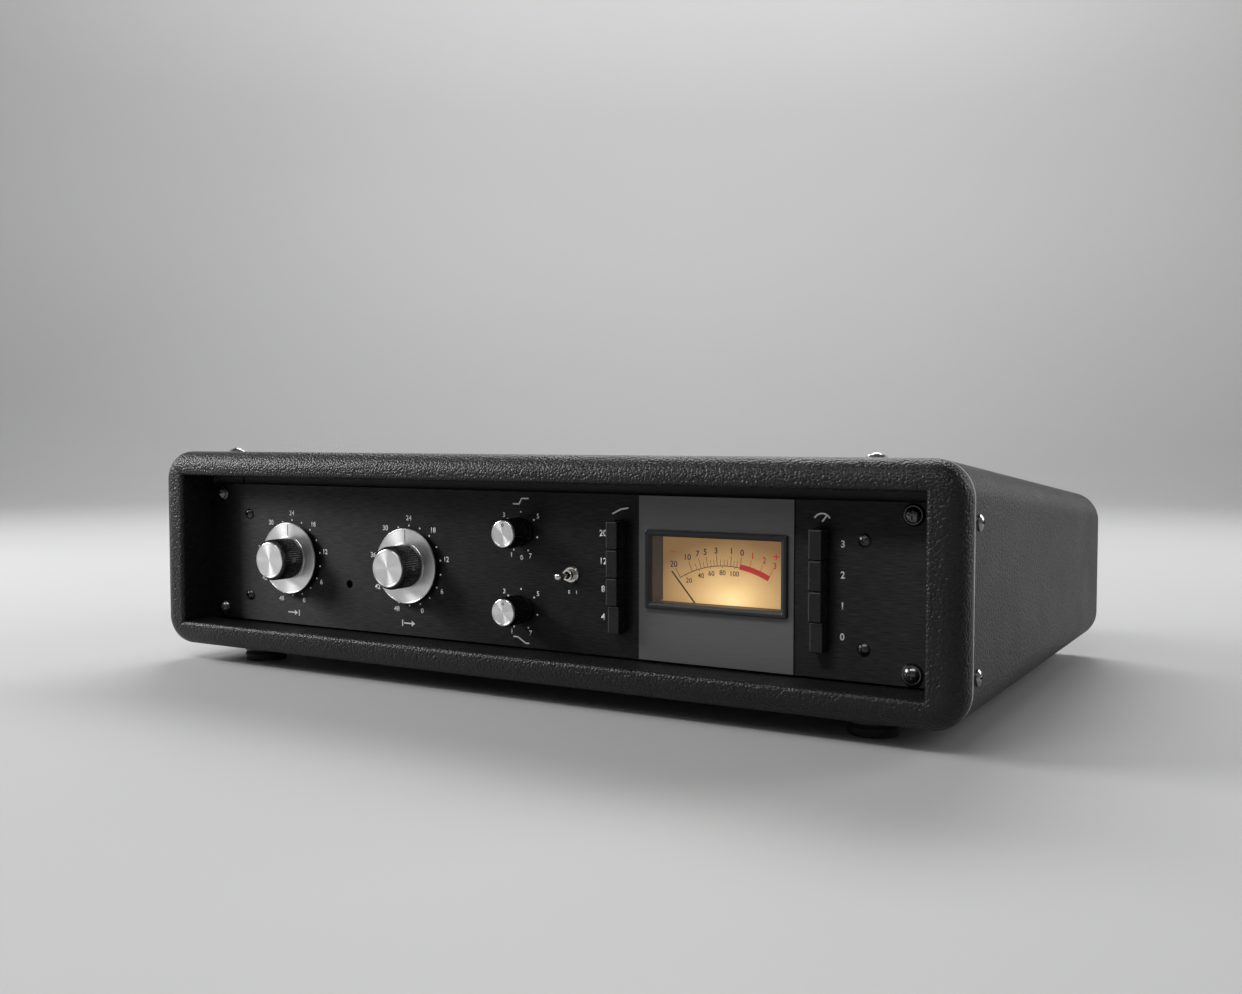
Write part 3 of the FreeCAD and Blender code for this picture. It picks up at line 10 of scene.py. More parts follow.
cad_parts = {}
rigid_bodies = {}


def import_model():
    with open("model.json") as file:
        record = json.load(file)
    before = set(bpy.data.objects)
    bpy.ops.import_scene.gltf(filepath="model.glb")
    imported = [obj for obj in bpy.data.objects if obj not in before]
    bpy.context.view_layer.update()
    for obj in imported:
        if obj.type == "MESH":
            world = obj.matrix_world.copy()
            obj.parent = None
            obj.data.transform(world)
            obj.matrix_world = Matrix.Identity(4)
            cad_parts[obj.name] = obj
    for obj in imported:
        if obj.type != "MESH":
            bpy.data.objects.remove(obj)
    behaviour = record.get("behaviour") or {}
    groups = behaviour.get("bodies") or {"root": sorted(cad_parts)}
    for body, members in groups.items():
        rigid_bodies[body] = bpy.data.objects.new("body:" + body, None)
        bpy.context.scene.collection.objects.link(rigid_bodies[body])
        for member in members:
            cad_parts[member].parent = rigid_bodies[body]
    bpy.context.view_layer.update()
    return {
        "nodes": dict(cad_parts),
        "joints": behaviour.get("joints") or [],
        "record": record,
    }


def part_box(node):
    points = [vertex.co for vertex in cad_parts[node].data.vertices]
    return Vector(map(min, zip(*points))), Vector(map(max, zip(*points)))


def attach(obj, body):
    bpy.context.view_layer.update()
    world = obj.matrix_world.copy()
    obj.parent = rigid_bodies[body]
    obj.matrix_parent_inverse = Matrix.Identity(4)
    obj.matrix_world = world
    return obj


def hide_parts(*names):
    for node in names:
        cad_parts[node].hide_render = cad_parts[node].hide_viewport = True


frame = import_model()

MM = 0.001
CABINET = "cabinet"


# ---- places read from the frame, in millimetres ----

def corners(node):
    """Lowest and highest corner of a node."""
    low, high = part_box(node)
    return low / MM, high / MM


def middle(node):
    low, high = corners(node)
    return (low + high) / 2


def halves(node):
    """Half of a node's width and half of its height."""
    low, high = corners(node)
    return (high.x - low.x) / 2, (high.z - low.z) / 2


def radius_of(node):
    """Radius of a round node that faces the front."""
    return halves(node)[0]


def pivot(body):
    """Where the joint that carries a body has its axis."""
    joint = next(joint for joint in frame["joints"] if joint["child"] == body)
    return Vector(joint["pos_m"]) / MM


def depths(node, body):
    """How far a node's back and its front stand out from its body's joint."""
    low, high = corners(node)
    base = pivot(body).y
    return base - high.y, base - low.y


panel_low, panel_high = corners("front_panel")
PANEL_FACE = panel_low.y
PANEL_MID = (panel_low.z + panel_high.z) / 2
REAR_FACE = corners("rear_panel")[1].y
FRAME_FRONT = corners("front_frame")[0].y
SLEEVE_FRONT = corners("outer_sleeve")[0].y
CARD_FACE = corners("meter_dial")[0].y
METER_X = middle("meter_dial").x
LAMP = middle("meter_lamp")
GLOW_SHIFT = Vector((4, 0, 0))   # the brightest spot lies a little to the right of the lamp

# How a flat drawing or a turned piece stands: its own Z points out of the face it belongs to.
FRONT = Matrix.Rotation(math.radians(90), 4, "X")
REAR = Matrix.Rotation(math.radians(180), 4, "Z") @ FRONT
RIGHT = Matrix.Rotation(math.radians(90), 4, "Y")


def stand(x, y, z, facing=FRONT):
    return Matrix.Translation(Vector((x, y, z)) * MM) @ facing


def on_joint(node, body):
    """The place of a turned piece: on its node's middle, at its body's joint."""
    centre = middle(node)
    return stand(centre.x, pivot(body).y, centre.z)


# ---- finishes ----

class Wire:
    """One value on its way through a finish; arithmetic on it adds Math nodes."""

    def __init__(self, finish, socket):
        self.finish = finish
        self.socket = socket

    def out(self, name):
        return Wire(self.finish, self.socket.node.outputs[name])

    def math(self, operation, first, second):
        return self.finish.node("ShaderNodeMath", {"operation": operation}, [first, second])

    def __add__(self, other):
        return self.math("ADD", self, other)

    def __sub__(self, other):
        return self.math("SUBTRACT", self, other)

    def __rsub__(self, other):
        return self.math("SUBTRACT", other, self)

    def __mul__(self, other):
        return self.math("MULTIPLY", self, other)

    def __pow__(self, other):
        return self.math("POWER", self, other)

    def __mod__(self, other):
        return self.math("FLOORED_MODULO", self, other)

    def __gt__(self, other):
        return self.math("GREATER_THAN", self, other)

    __radd__ = __add__
    __rmul__ = __mul__


class Finish:
    """A material put together from nodes."""

    def __init__(self, name):
        self.material = bpy.data.materials.new(name)
        self.material.use_nodes = True
        self.tree = self.material.node_tree
        self.tree.nodes.clear()

    def node(self, kind, settings=(), sockets=()):
        """Add a node: its settings first, then the values or wires of its sockets."""
        made = self.tree.nodes.new(kind)
        for word, value in dict(settings).items():
            if word == "stops":
                lay_stops(made.color_ramp, value)
            else:
                setattr(made, word, value)
        pairs = sockets.items() if isinstance(sockets, dict) else enumerate(sockets)
        for socket, value in pairs:
            if isinstance(value, Wire):
                self.tree.links.new(value.socket, made.inputs[socket])
            else:
                made.inputs[socket].default_value = value
        shown = [output for output in made.outputs if output.enabled]
        return Wire(self, shown[0]) if shown else None

    def place(self):
        return self.node("ShaderNodeTexCoord").out("Object")

    def vector(self, operation, first, second):
        return self.node("ShaderNodeVectorMath", {"operation": operation}, [first, second])

    def along(self, place, axis):
        return self.node("ShaderNodeSeparateXYZ", {}, [place]).out(axis)

    def grain(self, place, lengths, detail=2):
        """Noise whose features are this long along X, Y and Z, in millimetres."""
        stretched = self.vector("DIVIDE", place, [length * MM for length in lengths])
        return self.node("ShaderNodeTexNoise", {}, {"Vector": stretched, "Scale": 1, "Detail": detail})

    def speckle(self, place, size, detail=2):
        return self.grain(place, (size, size, size), detail)

    def cells(self, place, size):
        """Distance from the middle of round cells of about this size, in millimetres."""
        return self.node("ShaderNodeTexVoronoi", {}, {"Vector": place, "Scale": 1 / (size * MM)})

    def ramp(self, value, stops):
        return self.node("ShaderNodeValToRGB", {"stops": stops}, [value])

    def blend(self, share, first, second):
        return self.node("ShaderNodeMix", {"data_type": "RGBA"}, {0: share, 6: first, 7: second})

    def between(self, share, low, high):
        return share * (high - low) + low

    def limited(self, value, low, high):
        """How far value has gone from low to high, kept from 0 to 1."""
        return self.node("ShaderNodeMapRange", {"clamp": True},
                         {"Value": value, "From Min": low, "From Max": high})

    def bump(self, height, depth):
        """Relief of this depth in millimetres, for heights from 0 to 1."""
        return self.node("ShaderNodeBump", {}, {"Height": height, "Distance": depth * MM}).out("Normal")

    def surface(self, **sockets):
        named = {word.replace("_", " "): value for word, value in sockets.items()}
        shader = self.node("ShaderNodeBsdfPrincipled", {}, named)
        return self.end(shader)

    def end(self, shader):
        self.node("ShaderNodeOutputMaterial", {}, {"Surface": shader})
        return self.material


def lay_stops(ramp, stops):
    while len(ramp.elements) < len(stops):
        ramp.elements.new(1)
    for element, (position, colour) in zip(ramp.elements, stops):
        element.position = position
        element.color = colour


def grey(value):
    return (value, value, value, 1)


def shade(red, green, blue):
    return (red, green, blue, 1)


def pebbled(name, cell, depth, crease, crown, gloss, wear_and_highlight_from, wear_and_highlight_to, wear_and_highlight_tone):
    """Textured covering: round pebbles with fine skin grain, worn smooth along its front edge, where a
    lighter tone stands for wear and, on the sleeve, for a painted highlight line.
    """
    finish = Finish(name)
    place = finish.place()
    drift = finish.speckle(place, cell, 1).out("Color")
    drifted = finish.vector("ADD", place, finish.vector("MULTIPLY", drift, [cell / 2 * MM] * 3))
    pebbles = 1 - finish.cells(drifted, cell) ** 2 * 1.6
    skin = finish.speckle(place, cell / 3)
    handled = finish.speckle(place, 38, 3)
    # darker in the creases between pebbles: a painted shade
    colour = finish.blend(pebbles, crease, crown)
    colour = finish.blend(handled * 0.25, colour, finish.blend(skin, crown, grey(0.035)))
    # lighter and smoother towards the front edge: wear, and on the sleeve a painted highlight where the
    # edge would catch light
    wear_and_highlight = finish.limited(finish.along(place, "Y"), wear_and_highlight_from * MM, wear_and_highlight_to * MM)
    wear_and_highlight = wear_and_highlight * finish.limited(handled + skin * 0.3, 0.3, 0.7)
    colour = finish.blend(wear_and_highlight, colour, wear_and_highlight_tone)
    roughness = finish.between(handled, gloss - 0.07, gloss + 0.09) + skin * 0.06 - wear_and_highlight * 0.12
    relief = finish.bump(pebbles + skin * 0.2, depth)
    return finish.surface(Base_Color=colour, Roughness=roughness, Specular_IOR_Level=0.25, Normal=relief)


def brushed(name, dark, light, metallic, roughness, run, across, depth, stretch):
    """Brushed along X: streaks this long and this wide, with faint cloudiness from handling."""
    finish = Finish(name)
    place = finish.place()
    streaks = finish.grain(place, (run, across, across), 4)
    hair = finish.grain(place, (run / 4, across / 2.5, across / 2.5))
    clouds = finish.speckle(place, 45, 3)
    colour = finish.blend(finish.limited(streaks, 0.32, 0.68), dark, light)
    colour = finish.blend(clouds * 0.3, colour, dark)
    gloss = finish.between(hair, roughness - 0.06, roughness + 0.06) + clouds * 0.08
    relief = finish.bump(streaks + hair * 0.5, depth)
    return finish.surface(Base_Color=colour, Metallic=metallic, Roughness=gloss, Normal=relief,
                          Anisotropic=stretch, Anisotropic_Rotation=0.25)


def spun_aluminium():
    """Turned on a lathe: fine rings about the piece's own Z and a highlight that fans out."""
    finish = Finish("spun_aluminium")
    place = finish.place()
    flat = finish.vector("MULTIPLY", place, [1, 1, 0])
    radius = finish.node("ShaderNodeVectorMath", {"operation": "LENGTH"}, [flat]).out("Value")
    rings = finish.node("ShaderNodeTexNoise", {"noise_dimensions": "1D"},
                        {"W": radius * (1 / (0.22 * MM)), "Scale": 1, "Detail": 3})
    smudge = finish.speckle(place, 7, 3)
    colour = finish.blend(finish.limited(rings, 0.3, 0.7), grey(0.72), shade(0.90, 0.90, 0.91))
    colour = finish.blend(smudge * 0.2, colour, shade(0.62, 0.61, 0.60))
    relief = finish.bump(rings, 0.006)
    return finish.surface(Base_Color=colour, Metallic=1.0, Anisotropic=0.85, Anisotropic_Rotation=0.25,
                          Roughness=finish.between(rings, 0.24, 0.34) + smudge * 0.06, Normal=relief)


def plated(name, tone, shadow, roughness):
    """Plated or plain bright metal with polishing marks and faint tarnish."""
    finish = Finish(name)
    place = finish.place()
    marks = finish.grain(place, (2.5, 0.2, 2.5), 3)
    tarnish = finish.speckle(place, 4, 3)
    colour = finish.blend(finish.limited(tarnish, 0.35, 0.75) * 0.5, tone, shadow)
    return finish.surface(Base_Color=colour, Metallic=1.0,
                          Roughness=finish.between(marks, roughness - 0.05, roughness + 0.08),
                          Normal=finish.bump(marks, 0.004))


def cup_plating():
    """Bright nickel on the washers of the case; on the panel the same washers are darkened, a painted dark
    reflection.
    """
    finish = Finish("cup_plating")
    place = finish.place()
    marks = finish.grain(place, (0.8, 0.8, 0.8), 3)
    on_case = finish.along(place, "Z") > panel_high.z * MM
    # darker on the panel's washers: a painted dark reflection
    colour = finish.blend(on_case, grey(0.10), shade(0.74, 0.72, 0.68))
    colour = finish.blend(finish.limited(marks, 0.4, 0.8) * 0.4, colour, grey(0.06))
    return finish.surface(Base_Color=colour, Metallic=1.0, Roughness=finish.between(marks, 0.14, 0.26),
                          Normal=finish.bump(marks, 0.004))


def moulded(name, tone, gloss, size=0.35, depth=0.01, specular=0.5):
    """Moulded plastic with a fine spark-eroded grain and slight sheen differences."""
    finish = Finish(name)
    place = finish.place()
    grain = finish.speckle(place, size)
    clouds = finish.speckle(place, 12, 3)
    dust = [min(1, part * 1.8 + 0.01) for part in tone[:3]] + [1]
    colour = finish.blend(clouds * 0.35, tone, dust)
    return finish.surface(Base_Color=colour, Roughness=finish.between(clouds, gloss - 0.06, gloss + 0.1),
                          Specular_IOR_Level=specular, Normal=finish.bump(grain, depth))


def knurled_black():
    """Black anodised grip: the flutes are cut, so here are only tool marks and worn crests."""
    finish = Finish("knurled_black")
    place = finish.place()
    marks = finish.grain(place, (0.5, 0.5, 4), 3)
    wear = finish.limited(finish.speckle(place, 3, 3), 0.5, 0.8)
    colour = finish.blend(wear * 0.4, grey(0.005), grey(0.018))
    return finish.surface(Base_Color=colour, Roughness=finish.between(marks, 0.22, 0.34),
                          Specular_IOR_Level=0.3, Normal=finish.bump(marks, 0.006))


def zinc_sheet():
    """Zinc-plated sheet with crystal spangle."""
    finish = Finish("zinc_sheet")
    place = finish.place()
    spangle = finish.cells(place, 9).out("Color")
    tone = finish.along(spangle, "X")
    scratches = finish.grain(place, (14, 0.4, 0.4), 3)
    colour = finish.blend(tone, grey(0.42), shade(0.62, 0.64, 0.66))
    return finish.surface(Base_Color=colour, Metallic=1.0,
                          Roughness=finish.between(tone, 0.3, 0.45) + scratches * 0.08,
                          Normal=finish.bump(scratches, 0.006))


def rubber():
    finish = Finish("rubber")
    place = finish.place()
    grain = finish.speckle(place, 0.5)
    dust = finish.limited(finish.speckle(place, 6, 3), 0.45, 0.8)
    colour = finish.blend(dust * 0.4, grey(0.014), shade(0.06, 0.057, 0.052))
    return finish.surface(Base_Color=colour, Roughness=finish.between(grain, 0.36, 0.52),
                          Normal=finish.bump(grain, 0.02))


def planed_wood():
    finish = Finish("planed_wood")
    place = finish.place()
    rings = finish.grain(place, (2.2, 60, 2.2), 4)
    pores = finish.grain(place, (0.4, 9, 0.4))
    colour = finish.ramp(rings, [(0.3, shade(0.24, 0.14, 0.07)), (0.5, shade(0.42, 0.28, 0.15)),
                                 (0.7, shade(0.55, 0.40, 0.23))])
    colour = finish.blend(finish.limited(pores, 0.6, 0.8) * 0.5, colour, shade(0.14, 0.08, 0.04))
    return finish.surface(Base_Color=colour, Roughness=finish.between(pores, 0.55, 0.75),
                          Normal=finish.bump(pores, 0.05))


def lacquered_board():
    """Green lacquer over copper tracks, which stand a little proud."""
    finish = Finish("lacquered_board")
    place = finish.place()
    tracks = finish.node("ShaderNodeTexBrick", {"offset": 0.37},
                         {"Vector": place, "Scale": 1 / (12 * MM), "Mortar Size": 0.06,
                          "Mortar Smooth": 0.1}).out("Fac")
    clouds = finish.speckle(place, 18, 3)
    colour = finish.blend(tracks, shade(0.01, 0.09, 0.04), shade(0.03, 0.17, 0.07))
    colour = finish.blend(clouds * 0.3, colour, shade(0.005, 0.05, 0.03))
    return finish.surface(Base_Color=colour, Roughness=finish.between(clouds, 0.25, 0.4),
                          Normal=finish.bump(tracks, 0.05))


def sleeved_cans():
    """Shrink sleeve on the walls and bare pressed metal on the tops."""
    finish = Finish("sleeved_cans")
    place = finish.place()
    facing = finish.along(finish.node("ShaderNodeNewGeometry").out("Normal"), "Z")
    top = facing > 0.9
    creases = finish.grain(place, (1.5, 1.5, 9), 3)
    colour = finish.blend(creases, shade(0.02, 0.035, 0.11), shade(0.05, 0.08, 0.2))
    colour = finish.blend(top, colour, grey(0.6))
    return finish.surface(Base_Color=colour, Metallic=top, Roughness=finish.between(creases, 0.3, 0.45),
                          Normal=finish.bump(creases, 0.05))


def laminated_core():
    """Varnished steel laminations, seen as thin level lines."""
    finish = Finish("laminated_core")
    place = finish.place()
    sheets = (finish.along(place, "Z") * (1 / (0.5 * MM))) % 1.0
    edge = finish.limited(sheets, 0.0, 0.3)
    varnish = finish.speckle(place, 8, 3)
    colour = finish.blend(edge, grey(0.02), grey(0.11))
    colour = finish.blend(varnish * 0.5, colour, shade(0.10, 0.07, 0.045))
    return finish.surface(Base_Color=colour, Metallic=0.6,
                          Roughness=finish.between(varnish, 0.35, 0.6), Normal=finish.bump(edge, 0.05))


def clear_pane():
    """Thin clear pane: it lets light through and only mirrors a little."""
    finish = Finish("clear_pane")
    smear = finish.speckle(finish.place(), 14, 3)
    through = finish.node("ShaderNodeBsdfTransparent", {}, {"Color": grey(0.97)})
    mirror = finish.node("ShaderNodeBsdfAnisotropic", {}, {"Color": grey(0.9), "Roughness": 0.04})
    glance = finish.node("ShaderNodeFresnel", {}, {"IOR": 1.45}) * finish.between(smear, 0.6, 1.0)
    return finish.end(finish.node("ShaderNodeMixShader", {}, [glance, through, mirror]))


def lit_card():
    """Amber dial card with a lamp close behind it, brightest over the lamp."""
    finish = Finish("lit_card")
    place = finish.place()
    away = finish.vector("SUBTRACT", place, (LAMP + GLOW_SHIFT) * MM)
    away = finish.vector("MULTIPLY", away, [0.75, 0, 1.15])
    reach = finish.node("ShaderNodeVectorMath", {"operation": "LENGTH"}, [away]).out("Value")
    fibre = finish.speckle(place, 0.6)
    patch = finish.speckle(place, 16)
    far = finish.limited(reach + patch * (6 * MM), 5 * MM, 40 * MM)
    glow = finish.ramp(far, [(0.0, shade(0.94, 0.68, 0.31)), (0.26, shade(0.66, 0.43, 0.18)),
                             (0.55, shade(0.40, 0.235, 0.09)), (1.0, shade(0.14, 0.072, 0.02))])
    paper = finish.blend(fibre, shade(0.24, 0.15, 0.065), shade(0.30, 0.19, 0.08))
    return finish.surface(Base_Color=paper, Roughness=finish.between(fibre, 0.6, 0.75),
                          Emission_Color=glow, Emission_Strength=1.25,
                          Normal=finish.bump(fibre, 0.01))


def lamp_glass():
    finish = Finish("lamp_glass")
    haze = finish.speckle(finish.place(), 2)
    glow = finish.blend(haze, shade(1.0, 0.62, 0.25), shade(1.0, 0.8, 0.5))
    return finish.surface(Base_Color=grey(0.9), Roughness=finish.between(haze, 0.1, 0.25),
                          Emission_Color=glow, Emission_Strength=3.0)


def ink(name, tone, thin, gloss=0.5, lit=0.0):
    """Screen-printed ink, a little thinner in places; lit is how much light comes through it."""
    finish = Finish(name)
    place = finish.place()
    cover = finish.limited(finish.speckle(place, 0.5, 3), 0.3, 0.5)
    colour = finish.blend(cover, thin, tone)
    return finish.surface(Base_Color=colour, Roughness=finish.between(cover, gloss + 0.1, gloss - 0.05),
                          Emission_Color=colour, Emission_Strength=lit)


def studio_paper():
    finish = Finish("studio_paper")
    fibre = finish.speckle(finish.place(), 900)
    colour = finish.blend(fibre, grey(0.43), grey(0.46))
    return finish.surface(Base_Color=colour, Roughness=0.6)


FINISHES = {
    "covering": pebbled("leather_covering", cell=1.4, depth=0.27, crease=grey(0.001),
                        crown=shade(0.009, 0.009, 0.011), gloss=0.40, wear_and_highlight_from=FRAME_FRONT + 5,
                        wear_and_highlight_to=FRAME_FRONT, wear_and_highlight_tone=grey(0.013)),
    # the sleeve's light tone at its front edge is a painted highlight line
    "sleeve_paint": pebbled("sleeve_covering", cell=1.35, depth=0.26, crease=grey(0.002),
                            crown=shade(0.013, 0.013, 0.015), gloss=0.42, wear_and_highlight_from=SLEEVE_FRONT + 1.8,
                            wear_and_highlight_to=SLEEVE_FRONT + 1.0, wear_and_highlight_tone=grey(0.55)),
    "rubber": rubber(),
    "raw_wood": planed_wood(),
    "bright_steel": plated("bright_steel", grey(0.32), grey(0.13), roughness=0.18),
    "black_steel": plated("black_steel", grey(0.075), grey(0.03), roughness=0.26),
    "sheet_steel": zinc_sheet(),
    "powder_black": moulded("powder_black", grey(0.012), gloss=0.66, size=1.1, depth=0.02),
    "panel_black": brushed("panel_black", grey(0.018), grey(0.05), metallic=0.9, roughness=0.48,
                           run=8, across=0.32, depth=0.012, stretch=0.9),
    "plate_grey": brushed("plate_grey", grey(0.105), grey(0.13), metallic=0.35, roughness=0.48,
                          run=9, across=0.2, depth=0.005, stretch=0.2),
    "spun_aluminium": spun_aluminium(),
    "knob_black": knurled_black(),
    "nickel": plated("nickel", shade(0.74, 0.72, 0.68), shade(0.42, 0.40, 0.36), roughness=0.16),
    "button_black": moulded("button_black", grey(0.006), gloss=0.26, size=0.6, depth=0.004,
                            specular=0.28),
    "black_plastic": moulded("black_plastic", grey(0.02), gloss=0.42),
    "board_green": lacquered_board(),
    "can_blue": sleeved_cans(),
    "core_steel": laminated_core(),
    "clear_glass": clear_pane(),
    "amber_card": lit_card(),
    "needle_black": moulded("needle_black", grey(0.01), gloss=0.4, size=0.3, depth=0.003),
}
WHITE_INK = ink("white_ink", grey(0.78), grey(0.5))
# light grey ink for the buttons' edge lines, a painted highlight
EDGE_HIGHLIGHT_INK = ink("painted_edge_highlight", grey(0.075), grey(0.03), gloss=0.3)
BLACK_INK = ink("black_ink", shade(0.012, 0.009, 0.007), shade(0.05, 0.03, 0.02))
RED_INK = ink("red_ink", shade(0.62, 0.012, 0.010), shade(0.5, 0.03, 0.015), lit=0.45)
# rack screws: chrome darkened, a painted reflection of dark surroundings
CHROME_PAINTED_DARK = plated("chrome_painted_dark", grey(0.12), grey(0.05), roughness=0.2)
CUP_PLATING = cup_plating()
# the walls' brown is a painted reflection of the amber card
WALL_BROWN_PAINTED_REFLECTION = moulded("wall_painted_amber_reflection", shade(0.05, 0.028, 0.012), gloss=0.5)
BEZEL_GREY = moulded("bezel_grey", shade(0.009, 0.009, 0.011), gloss=0.34, size=0.4, depth=0.008,
                     specular=0.4)
LAMP_GLASS = lamp_glass()


def dress_frame():
    """Give every node of the frame the finish of its slot in the record, or its own finish for a few
    nodes.
    """
    own = {"meter_bezel": BEZEL_GREY, "meter_lamp": LAMP_GLASS, "trim_screw": FINISHES["black_steel"],
           "machine_screws": CHROME_PAINTED_DARK, "cup_washers": CUP_PLATING}
    for part in frame["record"]["subparts"]:
        node = part["node"]
        mesh = frame["nodes"][node].data
        mesh.materials.clear()
        mesh.materials.append(own.get(node, FINISHES[part["material_slot"]]))


# ---- building pieces ----

FIT_GAP = 0.05        # between pieces that fit into each other
SIDES_PER_FLUTE = 8
STEPS_PER_CORNER = 6


def piece(name, mesh, place, finish, body):
    """Make an object of a mesh in millimetres that rides on a body."""
    data = bpy.data.meshes.new(name)
    bmesh.ops.scale(mesh, vec=(MM, MM, MM), verts=mesh.verts)
    bmesh.ops.recalc_face_normals(mesh, faces=mesh.faces)
    mesh.to_mesh(data)
    mesh.free()
    data.materials.append(finish)
    made = bpy.data.objects.new(name, data)
    bpy.context.scene.collection.objects.link(made)
    made.matrix_world = place
    if body:
        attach(made, body)
    return made


def smooth(made, angle):
    for face in made.data.polygons:
        face.use_smooth = True
    made.data.set_sharp_from_angle(angle=math.radians(angle))
    return made


def ring(mesh, radius, height, sides, bite=0.0, flutes=0):
    """One circle of points, or a single point on the axis; bite is how deep the flutes are."""
    if radius == 0:
        return [mesh.verts.new((0, 0, height))]
    points = []
    for side in range(sides):
        angle = 2 * math.pi * side / sides
        reach = radius - bite * abs(math.sin(flutes * angle / 2))
        points.append(mesh.verts.new((reach * math.cos(angle), reach * math.sin(angle), height)))
    return points


def skin(mesh, first, second):
    """Faces between two rings."""
    count = max(len(first), len(second))
    for side in range(count):
        after = (side + 1) % count
        loop = [first[side % len(first)], first[after % len(first)],
                second[after % len(second)], second[side % len(second)]]
        mesh.faces.new(list(dict.fromkeys(loop)))


def rounded(mesh, half_width, half_height, radius, height):
    """One ring of points round a rectangle with rounded corners."""
    points = []
    for count, (right, up) in enumerate(((1, 1), (-1, 1), (-1, -1), (1, -1))):
        for step in range(STEPS_PER_CORNER + 1):
            turn = math.radians(90 * (count + step / STEPS_PER_CORNER))
            points.append(mesh.verts.new((right * (half_width - radius) + radius * math.cos(turn),
                                          up * (half_height - radius) + radius * math.sin(turn), height)))
    return points


def framed(name, outline, place, finish, body):
    """Carry a closed outline of (half width, half height, corner radius, height) round a rectangle."""
    mesh = bmesh.new()
    rings = [rounded(mesh, *point) for point in outline]
    for first, second in zip(rings, rings[1:] + rings[:1]):
        skin(mesh, first, second)
    return smooth(piece(name, mesh, place, finish, body), 28)


def slab(mesh, low, high):
    """A block between two corners."""
    middle_point = [(a + b) / 2 for a, b in zip(low, high)]
    size = [b - a for a, b in zip(low, high)]
    bmesh.ops.create_cube(mesh, matrix=Matrix.Translation(middle_point) @ Matrix.Diagonal((*size, 1)))


def turned(name, outline, place, finish, body=None, sides=96, flutes=0, angle=28):
    """Turn an outline of (radius, height) or (radius, height, bite) about its own Z."""
    mesh = bmesh.new()
    if flutes:
        sides = flutes * SIDES_PER_FLUTE
    rings = [ring(mesh, *point[:2], sides, *point[2:], flutes=flutes) for point in outline]
    if outline[0][0] > 0:
        rings.append(rings[0])
    for first, second in zip(rings, rings[1:]):
        skin(mesh, first, second)
    return smooth(piece(name, mesh, place, finish, body), angle)


# ---- drawings on flat faces ----

INK_DEPTH = 0.03
DOT_SIDES = 14
FIGURE_SCALE = 1.38   # makes a figure as tall as its size says


class Drawing:
    """Ink on a flat face. Points are (right, up) in millimetres from the drawing's middle."""

    def __init__(self, name, place, finish, body=CABINET):
        self.name = name
        self.place = place
        self.finish = finish
        self.body = body
        self.mesh = bmesh.new()

    def shape(self, points):
        self.mesh.faces.new([self.mesh.verts.new((x, y, 0)) for x, y in points])

    def stroke(self, start, end, width):
        (x1, y1), (x2, y2) = start, end
        length = math.hypot(x2 - x1, y2 - y1)
        across = (y1 - y2) / length * width / 2, (x2 - x1) / length * width / 2
        self.shape([(x1 - across[0], y1 - across[1]), (x2 - across[0], y2 - across[1]),
                    (x2 + across[0], y2 + across[1]), (x1 + across[0], y1 + across[1])])

    def path(self, points, width):
        for start, end in zip(points, points[1:]):
            self.stroke(start, end, width)

    def dot(self, x, y, radius):
        self.shape([(x + radius * math.cos(turn), y + radius * math.sin(turn))
                    for turn in [math.tau * side / DOT_SIDES for side in range(DOT_SIDES)]])

    def arc(self, x, y, radius, first, last, width, step=2.0):
        """Part of a ring; angles are in degrees, clockwise from straight up."""
        steps = max(8, round((last - first) / step))
        turns = [math.radians(first + (last - first) * count / steps) for count in range(steps + 1)]
        for turn, after in zip(turns, turns[1:]):
            self.shape([(x + reach * math.sin(angle), y + reach * math.cos(angle))
                        for angle, reach in ((turn, radius - width / 2), (after, radius - width / 2),
                                             (after, radius + width / 2), (turn, radius + width / 2))])

    def number(self, text, x, y, size, weight=0.03):
        """Plain figures centred on a point."""
        letters = bpy.data.curves.new("figures", "FONT")
        letters.body = text
        letters.align_x = "CENTER"
        letters.align_y = "CENTER"
        letters.size = size * FIGURE_SCALE
        letters.offset = weight * size
        letters.resolution_u = 3
        holder = bpy.data.objects.new("figures", letters)
        flat = bpy.data.meshes.new_from_object(holder)
        flat.transform(Matrix.Translation((x, y, 0)))
        self.mesh.from_mesh(flat)
        for leftover, store in ((holder, bpy.data.objects), (flat, bpy.data.meshes),
                                (letters, bpy.data.curves)):
            store.remove(leftover)

    def lay(self):
        """Give the ink its thickness and put it on its face."""
        bmesh.ops.remove_doubles(self.mesh, verts=self.mesh.verts, dist=0.002)
        made = piece(self.name, self.mesh, self.place, self.finish, self.body)
        thick = made.modifiers.new("ink_depth", "SOLIDIFY")
        thick.thickness = INK_DEPTH * MM
        thick.offset = 1
        return made


def around(centre, radius, angle):
    """The point at this angle in degrees, clockwise from straight up."""
    turn = math.radians(angle)
    return centre[0] + radius * math.sin(turn), centre[1] + radius * math.cos(turn)


# ---- dials ----

FLUTE_DEPTH = 0.42
LARGE_FLUTES, SMALL_FLUTES = 60, 42
LARGE_RIM, SMALL_RIM = 0.9, 0.5
SKIRT_DISH = 0.16
NUT_COVER = 3.5       # how much smaller than the grip the room for the nut is
POINTER_WIDTH = 0.5
GRUB_SINK = 0.2       # below the crests of the flutes
GRUB_BACK = 0.4       # behind the middle of the grip
MARK_DEPTH = 0.14
MARK_INSET = 2.6
MARK_RADIUS = 0.62
MARK_WIDTH = 0.4


